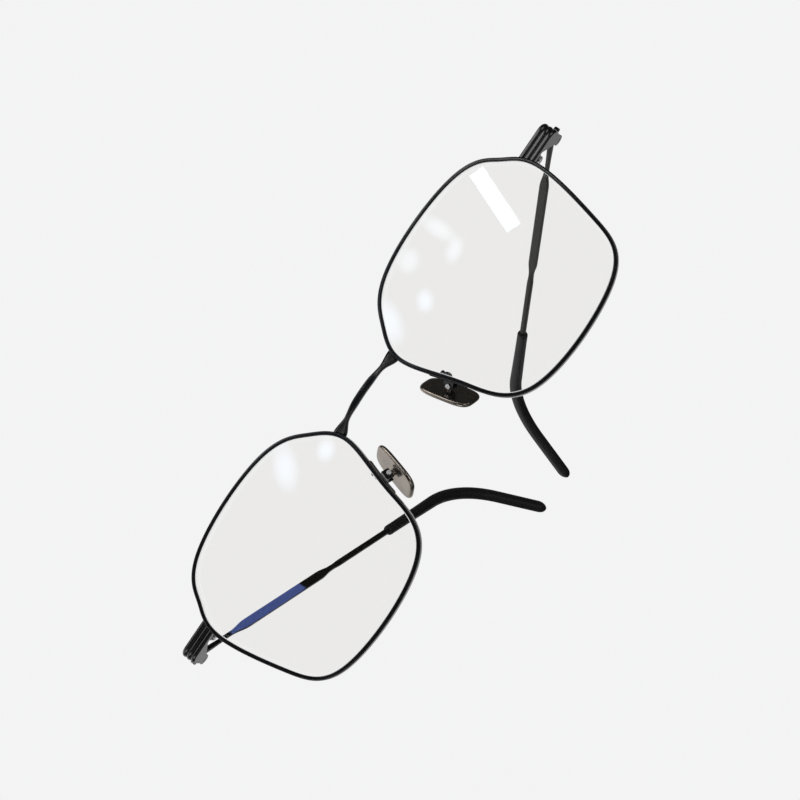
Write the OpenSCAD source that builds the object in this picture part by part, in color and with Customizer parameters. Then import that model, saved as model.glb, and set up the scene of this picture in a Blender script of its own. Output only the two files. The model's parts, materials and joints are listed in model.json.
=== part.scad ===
// Metal eyeglasses with rounded hexagonal lenses, ribbed end pieces and screw hinges.
// Millimetres, +Z up, front facing -Y, temples towards +Y. The origin lies on the surface that the
// glasses stand on, under the middle of the whole pair with its temples half folded.
// Each side piece is drawn for the right side, at +X, and mirrored for the left.

/* [Lenses and rims] */
// Width of the lens outline, at the groove of the rim
lens_w = 49.4; // [44:0.2:54]
// Height of the lens outline, at the groove of the rim
lens_h = 43; // [38:0.2:48]
// Distance between the centres of the two lenses
lens_spacing = 69.6; // [66:0.2:74]
// Thickness of a lens
lens_t = 1.8; // [1.4:0.1:2.2]
// Radius of the curve that the lenses and rims follow
base_curve_r = 130; // [90:5:260]
// Width of the rim wire seen from the front
rim_w = 0.9; // [0.8:0.05:1.2]
// Depth of the rim wire from front to back
rim_d = 2; // [1.8:0.1:2.6]
// Depth of the groove that holds the lens edge
groove_d = 0.34; // [0.25:0.01:0.4]
// Lean of the lens plane, its top forward
front_tilt = 2.5; // [0:0.5:5]

/* [Bridge] */
// Height of the bridge above the lens centre
bridge_z = 9.6; // [7:0.1:11]
// Height of the bridge bar at its middle
bridge_mid_h = 1.5; // [1.3:0.05:2.4]
// Height of the bridge bar at its two necks
bridge_neck_h = 1.1; // [0.9:0.05:1.5]
// Height of each bridge foot where it meets the rim
bridge_foot_h = 2.8; // [2:0.1:3.4]
// Thickness of the bridge bar from front to back
bridge_t = 1; // [0.8:0.05:1.4]
// How far the middle of the bridge bows forward
bridge_bow = 2; // [0.5:0.1:3]
// How far the middle of the bridge rises above its feet
bridge_rise = 0.4; // [0:0.1:1.5]

/* [End pieces] */
// Height of the end piece and hinge above the lens centre
end_z = 9.6; // [7:0.1:10.6]
// Height of an end piece
end_h = 3.4; // [3:0.1:4]
// Thickness of an end piece
end_t = 1.3; // [1.1:0.05:1.6]
// Number of ribs along an end piece
rib_count = 3; // [3:2:5]
// How far the round ribs stand out over the grooves between them
rib_crown = 0.32; // [0.2:0.02:0.4]
// Width of the flat floor of a groove between two ribs
rib_gap = 0.12; // [0.06:0.02:0.2]
// Depth of the straight sides of a groove, below the round of the rib
rib_side = 0.06; // [0.04:0.01:0.1]
// Inside radius of the corner where an end piece turns back
corner_r = 0.9; // [0.6:0.1:1.4]
// Reach of an end piece past the rim, to its outer face
end_reach = 8.4; // [7.6:0.1:10]

/* [Hinges] */
// Distance of the hinge axis behind the lens centre
hinge_back = 5.6; // [5:0.1:7]
// Diameter of a hinge knuckle
knuckle_d = 2.5; // [2.3:0.1:2.8]
// Height of the knuckle on the temple, the middle one
knuckle_h = 1.1; // [0.9:0.05:1.3]
// Diameter of the hinge screw shank
hinge_screw_d = 1; // [0.8:0.05:1.2]
// Diameter of the hinge screw head
hinge_head_d = 1.7; // [1.5:0.1:2]
// Height of the hinge screw head
hinge_head_h = 0.8; // [0.5:0.1:1]
// Reach of the stop on the temple from the hinge axis
stop_reach = 2.25; // [1.9:0.05:2.5]
// Width of the stop on the temple
stop_w = 1; // [0.8:0.05:1.1]
// Radial clearance of a bore that turns on its pin
run_gap = 0.04; // [0.02:0.01:0.06]
// Gap between faces that slide on each other
face_gap = 0.06; // [0.04:0.01:0.1]

/* [Temples] */
// Length of a temple from the hinge axis to its end, along its centre line
temple_l = 140; // [136:1:146]
// Distance from the hinge axis to the start of the bend
bend_at = 103; // [98:1:108]
// Radius of the bend over the ear
bend_r = 27; // [20:1:32]
// Angle that the bend turns down
bend_angle = 48; // [40:1:54]
// Distance from the hinge axis to the start of the flat blade
blade_from = 16; // [12:0.5:20]
// Distance from the hinge axis to the end of the flat blade
blade_to = 54; // [46:0.5:58]
// Length over which the neck widens into the blade
blade_ramp = 6.4; // [4:0.4:8]
// Length over which the blade narrows to its waist
waist_ramp = 5; // [3:0.5:7]
// Height of the flat blade
blade_h = 2.1; // [1.7:0.1:2.6]
// Thickness of the flat blade
blade_t = 0.8; // [0.7:0.05:1.1]
// Thickness of a temple where it leaves the hinge
butt_t = 1.5; // [1.1:0.05:1.7]
// Thickness and height of the neck before the blade
neck_w = 0.95; // [0.8:0.05:1.1]
// Height of the waist behind the blade
waist_h = 1.15; // [1:0.05:1.3]
// Height of the bar between the blade and the tip
bar_h = 1.4; // [1.3:0.05:1.6]
// Thickness of the bar between the blade and the tip
bar_t = 1.1; // [0.9:0.05:1.3]
// Gap between the two temples at rest, where their ends come closest
tip_gap = 8.6; // [6:0.2:40]

/* [Temple tips] */
// Distance from the hinge axis to the mouth of the tip
tip_from = 80.5; // [76:0.5:86]
// Height of the tip at its mouth
tip_mouth_h = 2.5; // [2.2:0.1:3]
// Thickness of the tip at its mouth
tip_mouth_t = 2.1; // [1.9:0.1:2.6]
// Height of the tip past the bend
tip_h = 3.4; // [3:0.1:4]
// Thickness of the tip past the bend
tip_t = 2.4; // [2.1:0.1:2.8]
// Diameter of the wire core inside the tip
core_d = 1.1; // [0.9:0.05:1.2]
// Clearance all round between the core and the tip
core_gap = 0.04; // [0.02:0.01:0.08]
// Solid length at the end of the tip, past the core
tip_solid = 7; // [4:0.5:9]

/* [Closing blocks] */
// Width of a closing block from the rim outwards
block_w = 2.3; // [2:0.1:2.6]
// Depth of a closing block from front to back
block_d = 3.2; // [2.4:0.1:3.4]
// Height of the two halves of a closing block together
block_h = 3; // [2.6:0.1:3.2]
// Thickness of the lip of a closing block, behind the end of its rim
lip_t = 0.6; // [0.4:0.1:1]
// Gap between the two halves of a closing block and the two ends of its rim
block_gap = 0.15; // [0.1:0.05:0.3]
// Diameter of the closing screw shank
closing_screw_d = 0.8; // [0.7:0.05:0.9]
// Diameter of the closing screw head
closing_head_d = 1.4; // [1.2:0.1:1.6]
// Height of the closing screw head
closing_head_h = 0.4; // [0.3:0.05:0.6]

/* [Nose pads] */
// Length of a nose pad
pad_l = 12.6; // [10:0.2:14]
// Width of a nose pad
pad_w = 7.6; // [5.4:0.2:8]
// Thickness of a nose pad
pad_t = 1.1; // [0.8:0.1:1.3]
// Distance of each pad centre from the middle of the nose
pad_x = 10.1; // [9:0.1:10.8]
// Distance of each pad centre behind the lens centre
pad_back = 6.6; // [6:0.1:7.4]
// Distance of each pad centre below the lens centre
pad_drop = 3.2; // [2:0.1:4.4]
// Splay of a pad: how far its back edge turns out
pad_splay = 34; // [24:1:36]
// Frontal angle of a pad: how far its top leans in
pad_lean = 16; // [10:1:22]
// Diameter of the pad screw shank
pad_screw_d = 0.7; // [0.6:0.05:0.8]
// Diameter of the pad screw head
pad_head_d = 1.1; // [1:0.1:1.3]
// Height of the pad screw head
pad_head_h = 0.3; // [0.2:0.05:0.4]
// Width of the lug on a pad, along its screw
lug_w = 0.9; // [0.7:0.05:1.1]
// Diameter of the round end of the lug
lug_d = 1.3; // [1.2:0.05:1.5]
// Distance from the pad face to the screw
lug_reach = 1.3; // [1.2:0.05:1.6]
// Wall of the box that holds the lug
box_wall = 0.4; // [0.35:0.05:0.5]
// Height of the box that holds the lug
box_h = 2.3; // [2:0.1:2.6]
// Diameter of the pad arm wire
arm_d = 0.85; // [0.7:0.05:1]
// Width of the foot of the arm, across the back of the rim
foot_w = 1.3; // [1:0.1:1.5]
// Length of the foot of the arm along the rim
foot_l = 8.8; // [6:0.2:10]
// Height of the top of the arm's foot above the lens centre
foot_top = 1.3; // [0:0.1:2]

/* [Hidden] */
$fn = 32;

satin_black = [0.08, 0.08, 0.09];
clear_lens = [0.85, 0.9, 0.95, 0.35];
champagne = [0.62, 0.57, 0.5];
bright_steel = [0.75, 0.75, 0.76];
matte_black = [0.05, 0.05, 0.055];

// Small gap left between two pieces that are brazed or pressed together
seat = 0.03;
// Width of the slot in a screw head, as a share of the head
slot_share = 0.17;
// How far one drawn shape reaches into another of the same piece
lap = 0.2;

// Outline of the right lens seen from the front, as control points of a closed smooth curve.
// Each is a share of half the width, positive outwards, and of half the height.
lens_shape = [
    [1.067, 0.419], [0.849, 0.636], [0.713, 0.997], [-0.597, 1.032], [-0.838, 0.693],
    [-1.084, 0.411], [-0.835, -0.255], [-0.777, -1.032], [0.752, -1.02], [0.877, -0.52]
];
outline_steps = 8;

// Curve through the control points: a closed cubic B-spline, at parameter t from 0 to their number
function spline_weights(f) = [
    pow(1 - f, 3) / 6, (3 * pow(f, 3) - 6 * f * f + 4) / 6,
    (-3 * pow(f, 3) + 3 * f * f + 3 * f + 1) / 6, pow(f, 3) / 6
];
function shape_at(t) = let (n = len(lens_shape), i = floor(t), w = spline_weights(t - i))
    w[0] * lens_shape[(i + n - 1) % n] + w[1] * lens_shape[i % n]
    + w[2] * lens_shape[(i + 1) % n] + w[3] * lens_shape[(i + 2) % n];
function outline_at(t) = let (p = shape_at(t)) [p.x * lens_w / 2, p.y * lens_h / 2];
function unit(v) = v / norm(v);
// Speed along the outline as its parameter grows, and the outward direction in its own plane
function shape_speed(t) = let (n = len(lens_shape))
    (outline_at((t + n + 0.01) % n) - outline_at((t + n - 0.01) % n)) / 0.02;
function outward_at(t) = let (d = unit(shape_speed(t))) [d.y, -d.x];
// The rim and the lens follow one sphere, so their depth grows with the distance from the centre
mean_r = (lens_w + lens_h) / 4;
function curve_y(p) = (p.x * p.x + p.y * p.y - mean_r * mean_r) / (2 * base_curve_r);

// Parameters along the outline, and its distance from the lens centre on the nose side
outline_ts = [for (i = [0:len(lens_shape) * outline_steps - 1]) i / outline_steps];
nose_side = [for (t = outline_ts) let (p = outline_at(t)) if (p.x < -lens_w * 0.38) [p.y, -p.x]];
// Outer face of the rim, followed closely: its distance from the lens centre on either side
rim_faces = [
    for (i = [0:4 * len(outline_ts) - 1])
        let (t = i / outline_steps / 4) outline_at(t) + outward_at(t) * rim_w / 2
];
outer_face = [for (p = rim_faces) if (p.x > lens_w * 0.4) [p.y, p.x]];
nose_face = [for (p = rim_faces) if (p.x < -lens_w * 0.38) [p.y, -p.x]];
// Parameters at which the outline passes a height on the outer side, where the loop starts again
outer_t_of = [
    for (t = outline_ts)
        let (n = len(lens_shape), u = t > n / 2 ? t - n : t, p = outline_at(t))
            if (p.x > lens_w * 0.4) [p.y, u]
];

// Place of a point of the right lens plane, u outwards, v up, b to the back
function on_front(u, v, b) = [
    lens_spacing / 2 + u, b * cos(front_tilt) - v * sin(front_tilt),
    b * sin(front_tilt) + v * cos(front_tilt)
];

// Outer face of the rim at a height, with the gap of a brazed joint
function rim_face(z) = lens_spacing / 2 + lookup(z, outer_face) + seat;
// Outer faces of the two end pieces, and the hinge axis, from there inwards
front_w = 2 * (rim_face(end_z) + end_reach);
hinge_x = front_w / 2 - knuckle_d / 2;
// The end of a temple: how far it is back and down from the hinge axis, at the middle of its round end
end_round = tip_h * 0.7;
bend_l = bend_r * bend_angle * PI / 180;
straight_l = temple_l - bend_at - bend_l - end_round;
tip_back = bend_at + bend_r * sin(bend_angle) + straight_l * cos(bend_angle);
tip_down = bend_r * (1 - cos(bend_angle)) + straight_l * sin(bend_angle);
// Both temples rest folded until their ends leave the tip gap between them
solve_steps = 24;
function tip_inner(fold) = hinge_x - tip_back * sin(fold) - norm([
    end_round * sin(fold) * cos(bend_angle), tip_h / 2 * sin(fold) * sin(bend_angle), tip_t / 2 * cos(fold)
]);
function find_fold(low, high, steps) = let (mid = (low + high) / 2)
    steps == 0 ? mid
    : tip_inner(mid) > tip_gap / 2 ? find_fold(mid, high, steps - 1)
    : find_fold(low, mid, steps - 1);
fold_range = [0, 60];
rest_fold = find_fold(fold_range[0], fold_range[1], solve_steps);
// How far a temple reaches from the lens centre, in a direction given by its back and up shares
function tip_reach(back, up, fold) = (hinge_back + tip_back * cos(fold)) * back
    + (end_z - tip_down) * up + norm([
        end_round * (back * cos(fold) * cos(bend_angle) - up * sin(bend_angle)),
        tip_h / 2 * (back * cos(fold) * sin(bend_angle) + up * cos(bend_angle)),
        tip_t / 2 * back * sin(fold)
    ]);
// Height of the lens centre over the surface that the rims stand on, when the pair leans back
function rims_down(lean) = (lens_h / 2 + rim_w / 2) * cos(lean - front_tilt)
    + rim_d / 2 * abs(sin(lean - front_tilt));
// The pair leans back until the tips of the temples touch that surface
function find_lean(low, high, steps) = let (mid = (low + high) / 2)
    steps == 0 ? mid
    : tip_reach(sin(mid), -cos(mid), rest_fold) < rims_down(mid) ? find_lean(mid, high, steps - 1)
    : find_lean(low, mid, steps - 1);
lean_range = [-10, 20];
lean = find_lean(lean_range[0], lean_range[1], solve_steps);
centre_z = rims_down(lean);

// The origin is under the middle of the pair's depth, from the lens or the bridge to the tips
lens_front = (mean_r * mean_r + pow(base_curve_r * sin(front_tilt - lean), 2)) / 2 / base_curve_r
    + lens_t / 2;
bridge_front = bridge_bow + bridge_t / 2 + (bridge_z + bridge_rise) * sin(front_tilt - lean);
front_y = (max(lens_front, bridge_front) - tip_reach(cos(lean), sin(lean), rest_fold)) / 2;

// Surface carried along a path: rings of points, joined by triangles and closed by flat ends
module skin(rings, closed = false) {
    n = len(rings);
    m = len(rings[0]);
    last = closed ? n - 1 : n - 2;
    sides = [
        for (i = [0:last], j = [0:m - 1])
            let (a = i * m + j, b = i * m + (j + 1) % m, c = ((i + 1) % n) * m + j,
                d = ((i + 1) % n) * m + (j + 1) % m)
                each [[a, b, d], [a, d, c]]
    ];
    ends = closed ? [] : [[for (j = [m - 1:-1:0]) j], [for (j = [0:m - 1]) (n - 1) * m + j]];
    polyhedron(points = [for (r = rings) each r], faces = concat(sides, ends), convexity = 6);
}

// Rounded bar section with m corners: a superellipse, w by h
function section(w, h, m = 12, power = 0.6) = [
    for (j = [0:m - 1]) let (a = 360 * (j + 0.5) / m)
        [w / 2 * sign(cos(a)) * pow(abs(cos(a)), power), h / 2 * sign(sin(a)) * pow(abs(sin(a)), power)]
];

// Smooth step from 0 to 1 as x goes from a to b
function ease(x, a, b) = let (f = min(1, max(0, (x - a) / (b - a)))) f * f * (3 - 2 * f);

// Children drawn from the lens centre, in the frame of the hinges, stood on the surface
module stood() {
    translate([0, front_y, centre_z]) rotate([-lean, 0, 0]) children();
}
// Children drawn for the right side, mirrored where the side is -1
module on_side(side) {
    mirror([side < 0 ? 1 : 0, 0, 0]) stood() children();
}

// RIMS
// Section of the rim wire: distance outwards from the groove line, and distance to the back
rim_section = [
    [rim_w * 0.3, -rim_d / 2], [-rim_w * 0.3, -rim_d / 2], [-rim_w / 2, -rim_d * 0.36],
    [-rim_w / 2, -groove_d], [groove_d - rim_w / 2, 0], [-rim_w / 2, groove_d],
    [-rim_w / 2, rim_d * 0.36], [-rim_w * 0.3, rim_d / 2], [rim_w * 0.3, rim_d / 2],
    [rim_w / 2, rim_d * 0.3], [rim_w / 2, -rim_d * 0.3]
];
// The loop is open by the block gap, behind the end piece
cut_t = lookup(end_z, outer_t_of);
cut_step = block_gap / 2 / norm(shape_speed(cut_t));
module rim(side) {
    n = len(lens_shape);
    from = cut_t + cut_step;
    to = cut_t + n - cut_step;
    // between its ends the wire has its rings where the lens has its corners
    ts = concat([from], [
        for (i = [ceil(from * outline_steps + 0.2):floor(to * outline_steps - 0.2)]) i / outline_steps
    ], [to]);
    color(satin_black) on_side(side)
        skin([
            for (t = ts)
                let (q = (t + n) % n, p = outline_at(q), o = outward_at(q), y = curve_y(p))
                [for (s = rim_section) on_front(p.x + o.x * s.x, p.y + o.y * s.x, y + s.y)]
        ]);
}

// LENSES
// Rings of the lens faces, as shares of the way from the centre to the edge
lens_rings = [0.4, 0.75];
module lens(side) {
    edge = rim_w / 2 + seat;
    peak = edge - groove_d;
    bevel = groove_d * 0.85;
    line = [for (t = outline_ts) outline_at(t)];
    out = [for (t = outline_ts) outward_at(t)];
    // one ring: share of the way from the centre, inset from the groove line, and distance back
    function ring(k, inset, b) = [
        for (i = [0:len(line) - 1]) let (p = (line[i] - out[i] * inset) * k)
            on_front(p.x, p.y, curve_y(line[i] * k) + b)
    ];
    color(clear_lens) on_side(side)
        skin(concat(
            [for (k = lens_rings) ring(k, edge, -lens_t / 2)],
            [ring(1, edge, -lens_t / 2), ring(1, edge, -bevel), ring(1, peak, 0),
             ring(1, edge, bevel), ring(1, edge, lens_t / 2)],
            [for (i = [len(lens_rings) - 1:-1:0]) ring(lens_rings[i], edge, lens_t / 2)]
        ));
}

// BRIDGE
// Half the gap between the rims at a height
function nose_gap(v) = lens_spacing / 2 - lookup(v, nose_face) - seat;
module bridge() {
    steps = 12;
    half = nose_gap(bridge_z);
    foot_y = curve_y([half - lens_spacing / 2, bridge_z]);
    color(satin_black) stood() skin([
        for (i = [-steps:steps])
            let (
                f = i / steps, a = abs(f),
                // a broad middle, a neck on each side, and the foot
                h = bridge_mid_h + (bridge_neck_h - bridge_mid_h) * ease(a, 0.25, 0.6)
                    + (bridge_foot_h - bridge_neck_h) * ease(a, 0.62, 1),
                t = bridge_t + (rim_d * 0.6 - bridge_t) * ease(a, 0.7, 1),
                y = foot_y * ease(a, 0.3, 1) - bridge_bow * (1 - pow(a, 1.8)),
                v = bridge_z + bridge_rise * (1 - a * a)
            )
            [for (s = section(t, h, 10, 0.75))
                let (x = half * f + (nose_gap(v + s.y) - nose_gap(v)) * ease(a, 0.6, 1) * sign(f))
                    on_front(x - lens_spacing / 2, v + s.y, y - s.x)]
    ]);
}

// END PIECES
// Back of the end piece where it meets the rim, and the centre of the corner where it turns back
end_back = curve_y([lens_w / 2, end_z]) - end_z * sin(front_tilt) + end_t / 2;
corner_c = [front_w / 2 - end_t - corner_r, end_back + corner_r];
// Height of one rib with its groove, and the radius of its round face
rib_pitch = end_h / rib_count;
rib_r = pow(rib_pitch - rib_gap, 2) / 8 / (rib_crown - rib_side) + (rib_crown - rib_side) / 2;
rib_turn = asin((rib_pitch - rib_gap) / 2 / rib_r);
rib_steps = 5;
// Section of the end piece, how far out from its back face and how high: round ribs over flat grooves
floor_x = end_t - rib_crown;
ribbed_section = concat([[0, end_h / 2], [0, -end_h / 2], [floor_x, -end_h / 2]], [
    for (i = [0:rib_count - 1]) let (mid_y = (i + 0.5) * rib_pitch - end_h / 2)
        each concat(
            [[floor_x, mid_y - (rib_pitch - rib_gap) / 2]],
            [for (k = [0:rib_steps]) let (a = rib_turn * (2 * k / rib_steps - 1))
                [end_t - rib_r + rib_r * cos(a), mid_y + rib_r * sin(a)]],
            [[floor_x, mid_y + (rib_pitch - rib_gap) / 2]]
        )
], [[floor_x, end_h / 2]]);
// A stretch of the end piece is drawn from the centre of the corner, so that the sections meet
module corner_section() {
    translate([corner_r, 0]) polygon(ribbed_section);
}
module at_corner() {
    translate([corner_c.x, corner_c.y, end_z]) children();
}
// Slice of a height range that follows the slant of the rim, from a distance off it outwards
module off_rim(low, high, from, to) {
    zs = [for (i = [0:4]) low + (high - low) * i / 4];
    polygon(concat([for (z = zs) [rim_face(z) + from, z]], [[to, high], [to, low]]));
}
module end_piece(side) {
    web_in = rim_face(end_z) + block_w + 2 * lap;
    side_l = hinge_back - corner_c.y;
    color(satin_black) on_side(side) difference() {
        union() {
            intersection() {
                at_corner() rotate([90, 0, -90]) linear_extrude(lens_w / 4) corner_section();
                translate([0, end_back + 1, 0]) rotate([90, 0, 0]) linear_extrude(end_t + 2)
                    off_rim(end_z - end_h / 2, end_z + end_h / 2, 0, front_w / 2);
            }
            at_corner() rotate([0, 0, -90]) rotate_extrude(angle = 90) corner_section();
            at_corner() translate([0, side_l, 0]) rotate([90, 0, 0])
                linear_extrude(side_l) corner_section();
            // the web that carries the hinge
            translate([0, 0, end_z - end_h / 2]) linear_extrude(end_h) polygon([
                [web_in, end_back - lap], [hinge_x + lap, end_back - lap],
                [hinge_x + lap, hinge_back], [hinge_x - knuckle_d / 2, hinge_back],
                [hinge_x - knuckle_d / 2, hinge_back - knuckle_d * 0.3]
            ]);
            translate([hinge_x, hinge_back, end_z]) cylinder(d = knuckle_d, h = end_h, center = true);
        }
        // room for the knuckle of the temple
        translate([
            hinge_x - 2 * knuckle_d, hinge_back - knuckle_d / 2 - face_gap,
            end_z - knuckle_h / 2 - face_gap
        ])
            cube([4 * knuckle_d, 2 * knuckle_d, knuckle_h + 2 * face_gap]);
        translate([hinge_x, hinge_back, end_z])
            cylinder(d = hinge_screw_d + 2 * seat, h = end_h + 1, center = true, $fn = 24);
    }
}

// HINGE SCREWS
module hinge_screw(side) {
    color(satin_black) on_side(side) translate([hinge_x, hinge_back, end_z]) {
        translate([0, 0, -end_h / 2 + seat])
            cylinder(d = hinge_screw_d, h = end_h + lap, $fn = 24);
        translate([0, 0, end_h / 2 + seat]) difference() {
            rotate_extrude($fn = 24) polygon([
                [0, 0], [hinge_head_d / 2, 0], [hinge_head_d / 2, hinge_head_h * 0.6],
                [hinge_head_d * 0.38, hinge_head_h], [0, hinge_head_h]
            ]);
            // the slot for the screwdriver
            translate([0, 0, hinge_head_h])
                cube([hinge_head_d * 2, hinge_head_d * slot_share, hinge_head_h * 0.6], center = true);
        }
    }
}

// CLOSING BLOCKS
block_y = end_back + seat;
closing_x = rim_face(end_z) + block_w * 0.58;
closing_y = block_y + block_d * 0.55;
module closing_block(side) {
    lip_back = end_back + (rim_d - end_t) / 2 + 2 * seat + lip_t;
    color(satin_black) on_side(side) difference() {
        for (k = [-1, 1]) {
            low = end_z + min(k * block_gap / 2, k * block_h / 2);
            high = end_z + max(k * block_gap / 2, k * block_h / 2);
            outer = rim_face(end_z) + block_w;
            translate([0, block_y + block_d, 0]) rotate([90, 0, 0])
                linear_extrude(block_d) off_rim(low, high, 0, outer);
            // the lip behind the rim
            translate([0, lip_back, 0]) rotate([90, 0, 0])
                linear_extrude(lip_t) off_rim(low, high, -rim_w * 0.8, closing_x);
        }
        translate([closing_x, closing_y, end_z])
            cylinder(d = closing_screw_d + 2 * seat, h = block_h + 1, center = true, $fn = 24);
    }
}

// CLOSING SCREWS
module closing_screw(side) {
    color(bright_steel) on_side(side) translate([closing_x, closing_y, end_z - block_h / 2]) {
        translate([0, 0, -closing_head_h / 2])
            cylinder(d = closing_screw_d, h = block_h + closing_head_h / 2 - 0.1, $fn = 24);
        translate([0, 0, -closing_head_h - seat]) difference() {
            cylinder(d = closing_head_d, h = closing_head_h, $fn = 24);
            cube([closing_head_d * 2, closing_head_d * slot_share, closing_head_h], center = true);
        }
    }
}

// TEMPLES
// Place and direction of the centre line at a distance from the hinge axis: back, up, angle down
function line_at(s) = let (
    turn = max(0, min(bend_angle, (s - bend_at) / bend_r * 180 / PI)),
    past = max(0, s - bend_at - bend_l)
) [
    min(s, bend_at) + bend_r * sin(turn) + past * cos(turn),
    -bend_r * (1 - cos(turn)) - past * sin(turn), turn
];
// A section w wide and h high across the centre line, with m corners
function ring_at(s, w, h, m, power) = let (c = line_at(s)) [
    for (q = section(w, h, m, power)) [q.x, c[0] + q.y * sin(c[2]), c[1] + q.y * cos(c[2])]
];
// Children drawn back from the hinge axis, turned to the fold at rest
module at_hinge(side) {
    on_side(side) translate([hinge_x, hinge_back, end_z]) rotate([0, 0, rest_fold]) children();
}
// Distances of the rings along the bend
bend_rings = [for (i = [0:8]) bend_at + bend_l * i / 8];

core_end = temple_l - tip_solid;
// Turn of the stop from straight sideways, at which it just clears the end piece
stop_turn = asin((knuckle_d - stop_w) / (2 * stop_reach - stop_w));
function temple_h(s) = s < (blade_from + blade_to) / 2
    ? knuckle_h + (neck_w - knuckle_h) * ease(s, knuckle_d / 2, blade_from - blade_ramp * 0.75)
        + (blade_h - neck_w) * ease(s, blade_from - blade_ramp / 2, blade_from + blade_ramp / 2)
    : s < tip_from - 2
        ? blade_h + (waist_h - blade_h) * ease(s, blade_to - waist_ramp, blade_to)
            + (bar_h - waist_h) * ease(s, blade_to + waist_ramp * 0.2, blade_to + waist_ramp * 0.8)
        : bar_h + (core_d - bar_h) * ease(s, tip_from - 0.9, tip_from - 0.1);
function temple_w(s) = s < (blade_from + blade_to) / 2
    ? butt_t + (neck_w - butt_t) * ease(s, knuckle_d / 2, blade_from - blade_ramp * 0.75)
        + (blade_t - neck_w) * ease(s, blade_from - blade_ramp / 2, blade_from)
    : s < tip_from - 2
        ? blade_t + (bar_t - blade_t) * ease(s, blade_to - waist_ramp * 0.4, blade_to + waist_ramp * 0.6)
        : bar_t + (core_d - bar_t) * ease(s, tip_from - 0.9, tip_from - 0.1);
module temple(side) {
    stations = concat(
        [knuckle_d * 0.3, knuckle_d, (knuckle_d + blade_from - blade_ramp) / 2],
        [for (f = [-0.75, -0.5, -0.3, -0.1, 0.1, 0.3, 0.5, 1.3]) blade_from + blade_ramp * f],
        [for (f = [-2.4, -1, -0.7, -0.45, -0.2, 0.05, 0.35, 0.8]) blade_to + waist_ramp * f],
        [tip_from - 0.9, tip_from - 0.5, tip_from - 0.1], bend_rings, [core_end]
    );
    color(satin_black) at_hinge(side) difference() {
        union() {
            skin([for (s = stations) ring_at(s, temple_w(s), temple_h(s), 10, s < tip_from - 1 ? 0.6 : 1)]);
            cylinder(d = knuckle_d, h = knuckle_h, center = true);
            // the stop, which meets the end piece when the temple is fully open
            rotate([0, 0, -stop_turn]) {
                translate([0, -stop_w / 2, -knuckle_h / 2]) cube([stop_reach - stop_w / 2, stop_w, knuckle_h]);
                translate([stop_reach - stop_w / 2, 0, 0])
                    cylinder(d = stop_w, h = knuckle_h, center = true);
            }
        }
        cylinder(d = hinge_screw_d + 2 * run_gap, h = knuckle_h + 1, center = true, $fn = 24);
    }
}

// TEMPLE TIPS
module temple_tip(side) {
    round_from = temple_l - end_round;
    function tall(s) = tip_mouth_h + (tip_h - tip_mouth_h) * ease(s, tip_from, bend_at + bend_l);
    function wide(s) = tip_mouth_t + (tip_t - tip_mouth_t) * ease(s, tip_from, bend_at);
    outer = concat(
        [for (e = [[0, 0.82], [0.25, 0.95], [0.7, 1]]) [tip_from + e[0], e[1]]],
        [for (s = bend_rings) [s, 1]], [[bend_at + bend_l + straight_l / 2, 1]],
        [for (f = [0, 0.35, 0.62, 0.82, 0.95, 0.995]) [round_from + end_round * f, sqrt(1 - f * f)]]
    );
    bore = core_d + 2 * core_gap;
    inner = concat([tip_from - 1], bend_rings, [core_end + core_gap]);
    color(matte_black) at_hinge(side) difference() {
        skin([for (e = outer) ring_at(e[0], wide(e[0]) * e[1], tall(e[0]) * e[1], 12, 0.8)]);
        skin([for (s = inner) ring_at(s, bore, bore, 10, 1)]);
    }
}

// NOSE PADS
pad_corners = 28;
// Children drawn on the pad screw: x out from the nose, y along the screw, z up the pad
module on_pad(side) {
    reach = lug_reach + pad_t / 2;
    on_side(side) translate([pad_x, pad_back, -pad_drop]) rotate([0, 0, -pad_splay])
        rotate([0, -pad_lean, 0]) translate([reach, 0, 0]) children();
}
module nose_pad(side) {
    // share of the thickness from the back, and share of the full outline
    layers = [[0, 0.86], [0.25, 0.97], [0.55, 1], [0.85, 0.97], [1, 0.9]];
    color(champagne) on_pad(side) difference() {
        union() {
            skin([
                for (e = layers) [
                    for (q = section(pad_w * e[1], pad_l * e[1], pad_corners, 0.55))
                        // a little broader below than above
                        [-lug_reach - pad_t * e[0], q.x * (1 - 0.08 * q.y / pad_l), q.y]
                ]
            ]);
            rotate([90, 0, 0]) cylinder(d = lug_d, h = lug_w, center = true);
            translate([-lug_reach - pad_t / 2, -lug_w / 2, -lug_d * 0.4])
                cube([lug_reach + pad_t / 2, lug_w, lug_d * 0.8]);
        }
        rotate([90, 0, 0])
            cylinder(d = pad_screw_d + 2 * run_gap, h = lug_w + 1, center = true, $fn = 24);
    }
}

// PAD BOXES
cheek = lug_w / 2 + face_gap;
box_out = lug_d / 2 + 0.08 + box_wall;
module pad_box(side) {
    color(satin_black) on_pad(side) difference() {
        translate([-lug_reach * 0.5, -cheek - box_wall, -box_h / 2])
            cube([lug_reach * 0.5 + box_out, 2 * (cheek + box_wall), box_h]);
        translate([-lug_reach, -cheek, -box_h])
            cube([lug_reach + box_out - box_wall, 2 * cheek, 2 * box_h]);
        rotate([90, 0, 0])
            cylinder(d = pad_screw_d + 2 * seat, h = 4 * cheek + 2, center = true, $fn = 24);
    }
}

// PAD SCREWS
module pad_screw(side) {
    out = cheek + box_wall;
    color(bright_steel) on_pad(side) rotate([90, 0, 0]) {
        translate([0, 0, -out]) cylinder(d = pad_screw_d, h = 2 * out + pad_head_h / 3, $fn = 24);
        translate([0, 0, out + seat]) difference() {
            cylinder(d = pad_head_d, h = pad_head_h, $fn = 24);
            translate([0, 0, pad_head_h])
                cube([pad_head_d * 2, pad_head_d * slot_share, pad_head_h * 0.8], center = true);
        }
    }
}

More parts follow.
